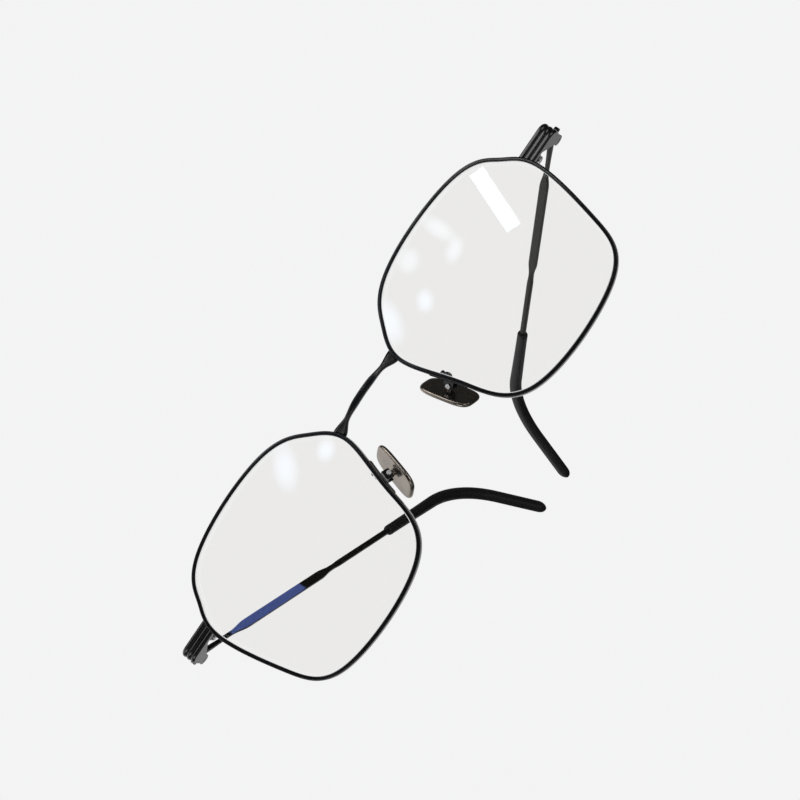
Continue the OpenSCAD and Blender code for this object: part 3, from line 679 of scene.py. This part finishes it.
def rim_shape(side):
    """The rim wire: a rounded, grooved profile carried round the outline, open at the closing
    block."""
    rim = settings().rim
    n = len(LENS_SHAPE)
    w, d, g = rim.wire_w / 2, rim.wire_d / 2, rim.groove
    outer, inner, lip, root = 0.0003, 0.0002, 0.00004, 0.00006
    profile = rounded(
        [(w, -d), (-w, -d), (-w, -g), (g - w, 0), (-w, g), (-w, d), (w, d)],
        [outer, inner, lip, root, lip, inner, outer])
    t = np.linspace(0, n, 4000, endpoint=False)
    p = outline(t)
    far = p[:, 0] > OUTER_SIDE * rim.lens_w
    wrapped = np.where(t > n / 2, t - n, t)[far]
    order = np.argsort(p[far, 1])
    start = np.interp(rim.hinge_up, p[far, 1][order], wrapped[order])
    step = rim.cut / 2 / np.linalg.norm(outline_slope(np.array([start])))
    q = np.linspace(start + step, start + n - step, settings().around)
    p, o = outline(q), outward(q)
    flat = p[:, None] + o[:, None] * profile[None, :, :1]
    rings = on_front(flat[..., 0], flat[..., 1], curve_back(p)[:, None] + profile[None, :, 1])
    return loft(placed(rings, side))


def lens_shape(side):
    """The lens: two faces on the base curve as rings round a centre point, and a bevelled edge.
    Also gives the first face of the edge and the first one past it."""
    rim = settings().rim
    t = np.linspace(0, len(LENS_SHAPE), 240, endpoint=False)
    line, out = outline(t), outward(t)
    edge, half = rim.wire_w / 2 + rim.seat, rim.lens_t / 2
    peak, bevel, chamfer = edge - rim.groove, rim.groove * 0.85, 0.00006

    def ring(k, inset, b):
        p = (line - out * inset) * k
        return on_front(p[:, 0], p[:, 1], curve_back(p) + b)

    shares = np.linspace(0.04, 1, 26)[:-1]
    front = [ring(k, edge, -half) for k in shares] + [ring(1, edge + chamfer, -half)]
    rimmed = [ring(1, edge, chamfer - half), ring(1, edge, -bevel), ring(1, peak, 0),
              ring(1, edge, bevel), ring(1, edge, half - chamfer)]
    back = [ring(1, edge + chamfer, half)] + [ring(k, edge, half) for k in shares[::-1]]
    points, faces = loft(np.array(front + rimmed + back), caps=False)
    middle = curve_back(np.zeros(2))
    centres = on_front(np.zeros(2), np.zeros(2), np.array([middle - half, middle + half]))
    columns, count = len(t), len(points)
    base = count - columns
    first = [[count, (j + 1) % columns, j] for j in range(columns)]
    last = [[count + 1, base + j, base + (j + 1) % columns] for j in range(columns)]
    points = np.concatenate([points, centres])
    edge_faces = ((len(front) - 1) * columns, (len(front) + len(rimmed)) * columns)
    return (placed(points, side), faces + first + last), edge_faces


def bridge_shape():
    """The bridge: a bar carried from rim to rim, with a broad bowed middle, a neck on each side, a
    flared foot whose end follows the slant of the rim, and chamfers that widen towards the feet."""
    rim, size = settings().rim, settings().bridge
    reach = -outline_x(size.up, inner=True)
    # Shares of the half length over which the bar narrows, flares, thickens, sweeps back, is cut
    # broader along its edges and follows the rim
    narrow, flare, thicken, sweep, cut, follow = (
        (0.25, 0.6), (0.62, 1), (0.7, 1), (0.3, 1), (0.55, 0.9), (0.6, 1))

    def gap(v):
        return rim.spacing / 2 + outline_x(v, inner=True, off=rim.wire_w / 2) - rim.seat

    half = gap(size.up)
    foot_back = curve_back(np.array([-reach, size.up]))
    f = np.linspace(-1, 1, 121)
    a = np.abs(f)
    h = stepped(size.mid_h, (size.neck_h, ease(a, *narrow)), (size.foot_h, ease(a, *flare)))
    t = stepped(size.bar_t, (rim.wire_d * 0.6, ease(a, *thicken)))
    y = foot_back * ease(a, *sweep) - size.bow * (1 - a**1.8)
    v = size.up + size.rise * (1 - a * a)
    chamfer = size.chamfer * (1 + 1.2 * ease(a, *cut))
    s = np.array([
        rounded([(d, c - e), (d, e - c), (d - c, e), (-d, e), (-d, -e), (d - c, -e)], 0.00006)
        for d, e, c in zip(t / 2, h / 2, chamfer)])
    up = v[:, None] + s[..., 1]
    slant = (gap(up) - gap(v)[:, None]) * (ease(a, *follow) * np.sign(f))[:, None]
    rings = on_front(half * f[:, None] + slant - rim.spacing / 2, up, y[:, None] - s[..., 0])
    return loft(placed(rings))


def centre_line(s):
    """Back, up and turn down of a temple's centre line at distances from the hinge axis."""
    size = settings().temple
    turn = np.clip((s - size.bend_at) / size.bend_r, 0, size.bend)
    past = np.maximum(0, s - size.bend_at - size.bend_r * size.bend)
    return (np.minimum(s, size.bend_at) + size.bend_r * np.sin(turn) + past * np.cos(turn),
            -size.bend_r * (1 - np.cos(turn)) - past * np.sin(turn), turn)


def along_temple(s, sections):
    """Sections set square to the centre line at distances s from the hinge axis."""
    back, up, turn = (x[:, None] for x in centre_line(s))
    across, high = sections[..., 0], sections[..., 1]
    return points_of(across, back + high * np.sin(turn), up + high * np.cos(turn))


def at_hinge(points, side):
    """Points drawn back from the hinge axis, turned to the fold at rest and put on their side."""
    rim = settings().rim
    joint = JOINTS["temple_right_fold" if side > 0 else "temple_left_fold"]
    shifted = turned(points, "z", -math.radians(joint["range_deg"][0]))
    return placed(shifted + (abs(joint["pos_m"][0]), rim.hinge_back, rim.hinge_up), side)


def temple_shape():
    """The temple: round neck, flat blade, waist, thin bar and the core inside the sleeve, lofted
    along the centre line."""
    size = settings().temple
    after, around, step = 0.004, 0.006, 0.001
    marks = (size.knuckle_d * 0.3, size.blade_from + after, size.blade_to - around,
             size.blade_to + around, size.sleeve_from - step, size.sleeve_from,
             size.reach - size.solid)
    s = np.unique(np.concatenate([
        np.linspace(a, b, count)
        for a, b, count in zip(marks, marks[1:], (90, 40, 50, 20, 8, 50))]))
    to_core = ease(s, size.sleeve_from - 0.9 * step, size.sleeve_from - 0.1 * step)
    front = s < (size.blade_from + size.blade_to) / 2
    widen, narrow = size.blade_ramp, size.waist_ramp
    start, end = size.blade_from - widen / 2, size.blade_to
    to_neck = ease(s, size.knuckle_d / 2, size.blade_from - widen * 0.75)
    high = np.where(
        front,
        stepped(size.knuckle_h, (size.neck, to_neck),
                (size.blade_h, ease(s, start, size.blade_from + widen / 2))),
        stepped(size.blade_h, (size.waist, ease(s, end - narrow, end)),
                (size.bar_h, ease(s, end + narrow * 0.2, end + narrow * 0.8))))
    wide = np.where(
        front,
        stepped(size.butt, (size.neck, to_neck), (size.blade_t, ease(s, start, size.blade_from))),
        stepped(size.blade_t, (size.bar_t, ease(s, end - narrow * 0.4, end + narrow * 0.6))))
    high, wide = (stepped(x, (size.core, to_core)) for x in (high, wide))
    power = (0.6 - 0.35 * ease(s, start, size.blade_from + widen / 4)
             + 0.3 * ease(s, end - narrow / 2, end + narrow / 2) + 0.45 * to_core)
    return loft(along_temple(s, bar_section(wide, high, power)))


def knuckle_shape():
    """The knuckle with its bore and its stop: one outline round the barrel and the stop, a bore,
    and rings that join them at both ends."""
    size = settings().temple
    bore, stop = size.pin_d / 2 + size.run_gap, size.stop_w / 2
    nub = size.stop_reach - stop
    lean = math.asin((size.knuckle_d - size.stop_w) / (2 * size.stop_reach - size.stop_w))
    a = np.linspace(0, 2 * math.pi, 96, endpoint=False)
    away = (a + lean + math.pi) % (2 * math.pi) - math.pi
    across = np.abs(np.sin(away))
    straight = np.where(across > 1e-6, stop / np.maximum(across, 1e-6), 1.0)
    round_end = nub * np.cos(away) + np.sqrt(np.maximum(0, stop**2 - (nub * across) ** 2))
    ahead = np.abs(away) < math.pi / 2
    inside = ahead & (nub * across < stop)
    beside = ahead & ~inside & (straight * np.cos(away) < nub)
    reach = np.where(beside, straight, np.where(inside, round_end, 0.0))
    r = np.maximum(size.knuckle_d / 2, reach)
    half, soft = size.knuckle_h / 2, 0.00008
    rows = ((bore, -half + soft), (bore + soft, -half), (r - soft, -half), (r, -half + soft),
            (r, half - soft), (r - soft, half), (bore + soft, half), (bore, half - soft))
    rings = [points_of(radius * np.cos(a), radius * np.sin(a), z) for radius, z in rows]
    return loft(np.array(rings), closed=True)


def sleeve_shape():
    """The sleeve: from a rolled mouth with its bore, thicker past the bend, to a round end."""
    size = settings().temple
    roll_l, steps = 0.0007, 110
    end_round = size.sleeve_h * 0.7
    bend_end = size.bend_at + size.bend_r * size.bend
    dome = np.sin(np.linspace(0, math.pi / 2, 14)[1:-1])
    roll = np.linspace(0, math.pi / 2, 8)
    s = np.concatenate([size.sleeve_from + roll_l * (1 - np.cos(roll)),
                        np.linspace(size.sleeve_from + 0.0012, size.reach - end_round, steps),
                        size.reach - end_round * (1 - dome)])
    k = np.concatenate([0.8 + 0.2 * np.sin(roll), np.ones(steps), np.sqrt(1 - dome**2)])
    high = stepped(size.mouth_h, (size.sleeve_h, ease(s, size.sleeve_from, bend_end)))
    wide = stepped(size.mouth_t, (size.sleeve_t, ease(s, size.sleeve_from, size.bend_at)))
    outer = along_temple(s, bar_section(wide * k, high * k, np.full_like(s, 0.78)))
    depth = np.linspace(0.004, 0, 6)
    bore = np.full_like(depth, size.core + 2 * size.gap)
    inner = along_temple(size.sleeve_from + depth, bar_section(bore, bore, np.ones_like(depth)))
    points, faces = loft(np.concatenate([inner, outer]), caps=False)
    columns, count = outer.shape[1], len(points)
    base = count - columns
    tip = outer[-1].mean(axis=0)
    point = tip + (tip - outer[-2].mean(axis=0)) * 0.3
    floor = list(range(columns))[::-1]
    cap = [[base + j, base + (j + 1) % columns, count] for j in range(columns)]
    return np.concatenate([points, point[None]]), faces + [floor] + cap


def on_screw(points):
    """Points drawn on the pad screw, x out from the nose, y along the screw and z up the pad, in
    the right lens frame."""
    size = settings().pad
    out = points + np.array([size.lug_reach + size.pad_t / 2, 0, 0])
    out = turned(turned(out, "y", -size.lean), "z", -size.splay)
    return out + (size.out, size.back, -size.drop)


def pad_shape():
    """The pad: a plate with a broad lower end, its face slightly crowned and its edge rounded."""
    size = settings().pad
    plan = bar_section(size.pad_w, size.pad_l, 0.55, 96)
    along_pad = plan[:, 1]
    across = plan[:, 0] * (1 - 0.08 * along_pad / size.pad_l)
    r, crown = size.pad_t / 2, 0.00012
    flat = np.linspace(0.12, 1, 9)[:-1]

    def ring(k, inset, x):
        scale_y = k * (1 - 2 * inset / size.pad_w)
        scale_z = k * (1 - 2 * inset / size.pad_l)
        return points_of(x, across * scale_y, along_pad * scale_z)

    rings = [ring(k, r, -size.lug_reach) for k in flat]
    rings += [ring(1, r * (1 - math.cos(b)), -size.lug_reach - r - r * math.sin(b))
              for b in np.linspace(-math.pi / 2, math.pi / 2, 11)]
    rings += [ring(k, r, -size.lug_reach - size.pad_t + crown * k * k) for k in flat[::-1]]
    return loft(np.array(rings))


def lug_shape():
    """The lug on the back of a pad: a flat tongue with a round end and a bore for its screw."""
    size = settings().pad
    run_gap, sink = 0.00004, 0.0003
    bore, r = size.screw_d / 2 + run_gap, size.lug_d / 2
    a = np.linspace(0, 2 * math.pi, 64, endpoint=False)
    radius = np.full_like(a, r)
    toward = np.cos(a) < -0.55
    across = np.maximum(np.abs(np.sin(a[toward])), 1e-6)
    radius[toward] = np.minimum((size.lug_reach + sink) / -np.cos(a[toward]), 0.8 * r / across)
    half = size.lug_w / 2
    rings = [points_of(ra * np.cos(a), y, ra * np.sin(a))
             for ra, y in ((bore, half), (radius, half), (radius, -half), (bore, -half))]
    return loft(np.array(rings), closed=True)


def foot_place(v):
    """Centre of the arm's foot on the back of the rim at heights v."""
    rim, size = settings().rim, settings().pad
    u = outline_x(v, inner=True)
    back = curve_back(points_of(u, v)) + rim.wire_d / 2 + size.arm_d * 0.4 + rim.seat
    return on_front(u, v, back)


def arm_shape(side):
    """The pad arm: a wire swept along a spline from its foot on the rim, out and back in a loop,
    into the box, and the foot as a flattened bar along the rim with round ends."""
    rim, size = settings().rim, settings().pad
    play, start_height = 0.00008, -0.0012
    box = size.lug_d / 2 + play + size.box_wall
    start = foot_place(np.array([start_height]))[0]
    rise = start + np.array([(0, 0, 0), (0.0003, 0.0008, 0.0003), (0.0013, 0.0018, 0.0005)])
    down = on_screw(np.array([
        (box + 0.0011, -0.0009, 0.0015), (box + 0.0014, 0, 0.0008), (box + 0.001, 0.0001, 0),
        (box + size.arm_d / 2 + rim.seat, 0, 0)]))
    points = np.concatenate([rise, down])
    line = spline(points, np.linspace(0, len(points) - 1, 90))
    ahead = np.gradient(line, axis=0)
    ahead /= np.linalg.norm(ahead, axis=1)[:, None]
    first = np.cross(ahead, (0.2, 0, 1))
    first /= np.linalg.norm(first, axis=1)[:, None]
    second = np.cross(first, ahead)
    q = bar_section(size.arm_d, size.arm_d, 1.0, 24)
    wire = line[:, None] + first[:, None] * q[None, :, :1] + second[:, None] * q[None, :, 1:]
    f, round_share = np.linspace(0, 1, 48), 0.07
    k = np.sqrt(1 - (1 - np.minimum(1, np.minimum(f, 1 - f) / round_share)) ** 2 * 0.96)
    centre = foot_place(size.foot_top - size.foot_l * f)
    q = bar_section(size.foot_w * k, size.arm_d * 0.8 * k, np.full_like(f, 0.7), 24)
    bar = centre[:, None] + points_of(q[..., 0], q[..., 1], 0.0)
    return joined(loft(placed(wire, side)), loft(placed(bar, side)))


def paint(material, *names):
    """Gives the CAD nodes of both sides a material."""
    for name in names:
        for side in SIDES:
            data = frame["nodes"][name + "_" + side].data
            data.materials.clear()
            data.materials.append(material)


class EYEGLASSES_OT_rims(bpy.types.Operator):
    """Build the two grooved rims"""
    bl_idname = "eyeglasses.rims"
    bl_label = "Rims"

    def execute(self, context):
        for name, side in SIDES.items():
            new_piece("rim_wire_" + name, rim_shape(side), satin(), "front", "rim_" + name)
        return {"FINISHED"}


class EYEGLASSES_OT_lenses(bpy.types.Operator):
    """Build the two lenses with their ground edges"""
    bl_idname = "eyeglasses.lenses"
    bl_label = "Lenses"

    def execute(self, context):
        for name, side in SIDES.items():
            shape, (first, last) = lens_shape(side)
            piece = new_piece("lens_clear_" + name, shape, material_of("lens_glass", lens_glass),
                              "front", "lens_" + name, sharp=28.0)
            piece.data.materials.append(material_of("ground_edge", lens_edge))
            index = np.zeros(len(piece.data.polygons), np.int32)
            index[first:last] = 1
            piece.data.polygons.foreach_set("material_index", index)
        return {"FINISHED"}


class EYEGLASSES_OT_bridge(bpy.types.Operator):
    """Build the bridge"""
    bl_idname = "eyeglasses.bridge"
    bl_label = "Bridge"

    def execute(self, context):
        new_piece("bridge_bar", bridge_shape(), satin(), "front", "bridge")
        return {"FINISHED"}


class EYEGLASSES_OT_hardware(bpy.types.Operator):
    """Finish the end pieces, hinge screws, closing blocks, pad boxes and screws"""
    bl_idname = "eyeglasses.hardware"
    bl_label = "End pieces and screws"

    def execute(self, context):
        paint(satin(), "end_piece", "hinge_screw", "closing_block", "pad_box")
        paint(material_of("bright_steel", steel_finish), "closing_screw", "pad_screw")
        return {"FINISHED"}


class EYEGLASSES_OT_temples(bpy.types.Operator):
    """Build the temples and their sleeves"""
    bl_idname = "eyeglasses.temples"
    bl_label = "Temples"

    def execute(self, context):
        for name, side in SIDES.items():
            body = "temple_" + name
            points, faces = joined(temple_shape(), knuckle_shape())
            new_piece("temple_bar_" + name, (at_hinge(points, side), faces),
                      material_of("blade_" + name, blade_finish, name), body, "temple_" + name)
            points, faces = sleeve_shape()
            new_piece("sleeve_" + name, (at_hinge(points, side), faces),
                      material_of("matte_sleeve", sleeve_finish), body, "temple_tip_" + name)
        return {"FINISHED"}


class EYEGLASSES_OT_pads(bpy.types.Operator):
    """Build the nose pads and their arms"""
    bl_idname = "eyeglasses.pads"
    bl_label = "Nose pads"

    def execute(self, context):
        for name, side in SIDES.items():
            points, faces = joined(pad_shape(), lug_shape())
            new_piece("pad_plate_" + name, (placed(on_screw(points), side), faces),
                      material_of("pad_champagne", pad_finish), "pad_" + name, "nose_pad_" + name)
            new_piece("arm_wire_" + name, arm_shape(side), satin(), "front", "pad_arm_" + name)
        return {"FINISHED"}


class EYEGLASSES_OT_stage(bpy.types.Operator):
    """Set up the floor, the world, the lamps and the camera"""
    bl_idname = "eyeglasses.stage"
    bl_label = "Stage"

    def execute(self, context):
        stage = settings().stage
        camera = linked("camera", bpy.data.cameras.new("camera"))
        camera.data.lens = stage.focal
        camera.data.sensor_width = stage.sensor
        camera.data.clip_start = 0.01
        camera.matrix_world = (Matrix(front_matrix().tolist()) @ Matrix.Translation(stage.place)
                               @ Euler(stage.turn).to_matrix().to_4x4())
        context.scene.camera = camera
        context.view_layer.update()
        build_floor(stage)
        build_world(stage, camera)
        build_lamps(camera)
        build_panels(camera)
        context.scene.view_settings.view_transform = "Standard"
        return {"FINISHED"}


def stage_object(name, points, faces, material):
    """A flat object of the stage, which isn't part of the pair."""
    thing = linked(name, mesh_of(name, points, faces, material))
    return thing


def floor_finish(tree):
    """Pale matt floor, clear from below."""
    shader = coat(tree, {"Base Color": settings().stage.backdrop, "Roughness": 0.8,
                         "Specular IOR Level": 0.1})
    below = add(tree, "NewGeometry").outputs["Backfacing"]
    show(tree, blended(tree, below, shader, add(tree, "BsdfTransparent")))


def build_floor(stage):
    """A pale round floor under the pair. It shows from above, and it is clear from below and in
    gloss."""
    a = np.linspace(0, 2 * math.pi, 96, endpoint=False)
    points = points_of(np.cos(a), np.sin(a), 0.0) * stage.floor_r
    floor = stage_object("floor", points, [list(range(len(a)))], material_of("floor", floor_finish))
    floor.visible_glossy = False


def build_world(stage, camera):
    """A pale backdrop for the camera and clear pieces, and softer light for matt ones. Gloss sees
    the backdrop where it lies behind the pair, and elsewhere a dim studio with soft lights."""
    world = bpy.data.worlds.new("studio")
    bpy.context.scene.world = world
    world.use_nodes = True
    tree = world.node_tree
    where = add(tree, "TexCoord").outputs["Generated"]
    turn = camera.matrix_world.to_3x3()
    level = stage.dim
    for glow in GLOWS:
        facing = along(tree, where, (turn @ Vector(glow.toward)).normalized())
        gone, full = (math.cos(math.radians(a)) for a in (glow.gone, glow.full))
        light = spread(tree, facing, 0.0, glow.strength, gone, full)
        level = calculated(tree, "ADD", light, level)
    path = add(tree, "LightPath")
    outside = calculated(tree, "SUBTRACT", 1.0, inside_lens(tree, path))
    plain = tree.nodes["Background"]
    feed(tree, plain, {"Color": stage.backdrop, "Strength": 0.75})
    level = calculated(tree, "MULTIPLY", level, outside)
    studio = add(tree, "Background", {"Color": stage.backdrop, "Strength": level})
    shown = add(tree, "Background", {"Color": stage.backdrop})
    path = path.outputs
    seen = calculated(tree, "MAXIMUM", path["Is Camera Ray"], path["Is Transmission Ray"])
    gloss = blended(tree, path["Is Glossy Ray"], plain, studio)
    show(tree, blended(tree, seen, gloss, shown), "World Output")


def build_lamps(camera):
    """The lamps, aimed at the pair and out of the camera's sight and of gloss."""
    turn = camera.matrix_world.to_3x3()
    for lamp in LAMPS:
        light = bpy.data.lights.new(lamp.name, "AREA")
        light.size = lamp.size
        light.energy = lamp.power
        holder = linked(lamp.name, light)
        holder.location = turn @ Vector(lamp.place)
        holder.rotation_euler = holder.location.to_track_quat("Z", "Y").to_euler()
        holder.visible_camera = False
        holder.visible_glossy = False


def mirrored_place(camera, side, pixel):
    """Where a pixel's ray ends when the front face of a lens turns it back. The ray meets the face
    at the root of b = curve_back - t / 2, which a few Newton steps find."""
    stage, rim = settings().stage, settings().rim
    scale = PICTURE * stage.focal / stage.sensor
    ray = Vector(((pixel[0] - PICTURE / 2) / scale, (PICTURE / 2 - pixel[1]) / scale, -1.0))
    ray = camera.matrix_world.to_3x3() @ ray.normalized()
    back = np.linalg.inv(front_matrix())
    c, s = math.cos(rim.tilt), math.sin(rim.tilt)

    def in_lens(vector, weight):
        x, y, z = (back @ (*vector, weight))[:3]
        return np.array([x * side - weight * rim.spacing / 2, z * c - y * s, y * c + z * s])

    start, step = in_lens(camera.matrix_world.translation, 1.0), in_lens(ray, 0.0)
    t = np.linalg.norm(start)
    for _ in range(8):
        p = start + t * step
        slope = np.array([-p[0] / rim.base_curve, -p[1] / rim.base_curve, 1.0])
        t -= (p[2] - curve_back(p[:2]) + rim.lens_t / 2) / (slope @ step)
    normal = slope / np.linalg.norm(slope)
    end = p + stage.panel_reach * (step - 2 * (step @ normal) * normal)
    return placed(on_front(*end), side)


def panel_light(tree, reflection):
    """Light of a panel, fading from its middle to its edge where the patch is soft. What lies
    behind it shows through, so that patches add up. A ray from inside a lens doesn't see it: the
    coated back face of a lens mirrors nothing."""
    strength = reflection.strength
    if reflection.soft:
        where = add(tree, "TexCoord").outputs["UV"]
        away = add(tree, "VectorMath", {0: where, 1: (0.5, 0.5, 0.0)}, operation="DISTANCE")
        strength = spread(tree, away.outputs["Value"], strength, 0.0, 0.15, 0.5)
    light = add(tree, "Emission", {"Color": reflection.tint, "Strength": strength})
    clear = add(tree, "BsdfTransparent")
    added = add(tree, "AddShader", {0: light.outputs[0], 1: clear.outputs[0]})
    inside = inside_lens(tree, add(tree, "LightPath"))
    show(tree, blended(tree, inside, added, clear))


def build_panels(camera):
    """Panels that only gloss sees, each placed where its lens mirrors it."""
    for number, reflection in enumerate(REFLECTIONS):
        start, end = np.array(reflection.start, float), np.array(reflection.end, float)
        run = (end - start) / np.linalg.norm(end - start)
        aside = np.array([-run[1], run[0]]) * reflection.width / 2
        corners = [mirrored_place(camera, SIDES[reflection.side], pixel)
                   for pixel in (start - aside, start + aside, end + aside, end - aside)]
        name = "panel_%d" % number
        light = material_of(name, panel_light, reflection)
        panel = stage_object(name, corners, [[0, 1, 2, 3]], light)
        patch = panel.data.uv_layers.new(name="patch")
        patch.data.foreach_set("uv", [0, 0, 1, 0, 1, 1, 0, 1])
        for kind in ("camera", "diffuse", "transmission", "shadow"):
            setattr(panel, "visible_" + kind, False)


class EYEGLASSES_PT_panel(bpy.types.Panel):
    """Lists the groups of pieces"""
    bl_label = "Eyeglasses"
    bl_idname = "EYEGLASSES_PT_panel"
    bl_space_type = "VIEW_3D"
    bl_region_type = "UI"
    bl_category = "Eyeglasses"

    def draw(self, context):
        for operator in OPERATORS:
            self.layout.operator(operator.bl_idname)


OPERATORS = (EYEGLASSES_OT_stage, EYEGLASSES_OT_rims, EYEGLASSES_OT_lenses, EYEGLASSES_OT_bridge,
             EYEGLASSES_OT_hardware, EYEGLASSES_OT_temples, EYEGLASSES_OT_pads)
CLASSES = (RimSizes, BridgeSizes, TempleSizes, PadSizes, Finishes, StageSettings, Eyeglasses,
           *OPERATORS, EYEGLASSES_PT_panel)


def register():
    """Registers the classes and hangs the settings on the scene."""
    for item in CLASSES:
        bpy.utils.register_class(item)
    bpy.types.Scene.eyeglasses = PointerProperty(type=Eyeglasses)


def unregister():
    """Takes the settings and the classes away again."""
    del bpy.types.Scene.eyeglasses
    for item in reversed(CLASSES):
        bpy.utils.unregister_class(item)


def main():
    """Builds everything: the stage and each group of pieces."""
    register()
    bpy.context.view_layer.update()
    bpy.ops.eyeglasses.stage()
    bpy.ops.eyeglasses.rims()
    bpy.ops.eyeglasses.lenses()
    bpy.ops.eyeglasses.bridge()
    bpy.ops.eyeglasses.hardware()
    bpy.ops.eyeglasses.temples()
    bpy.ops.eyeglasses.pads()


if __name__ == "__main__":
    main()
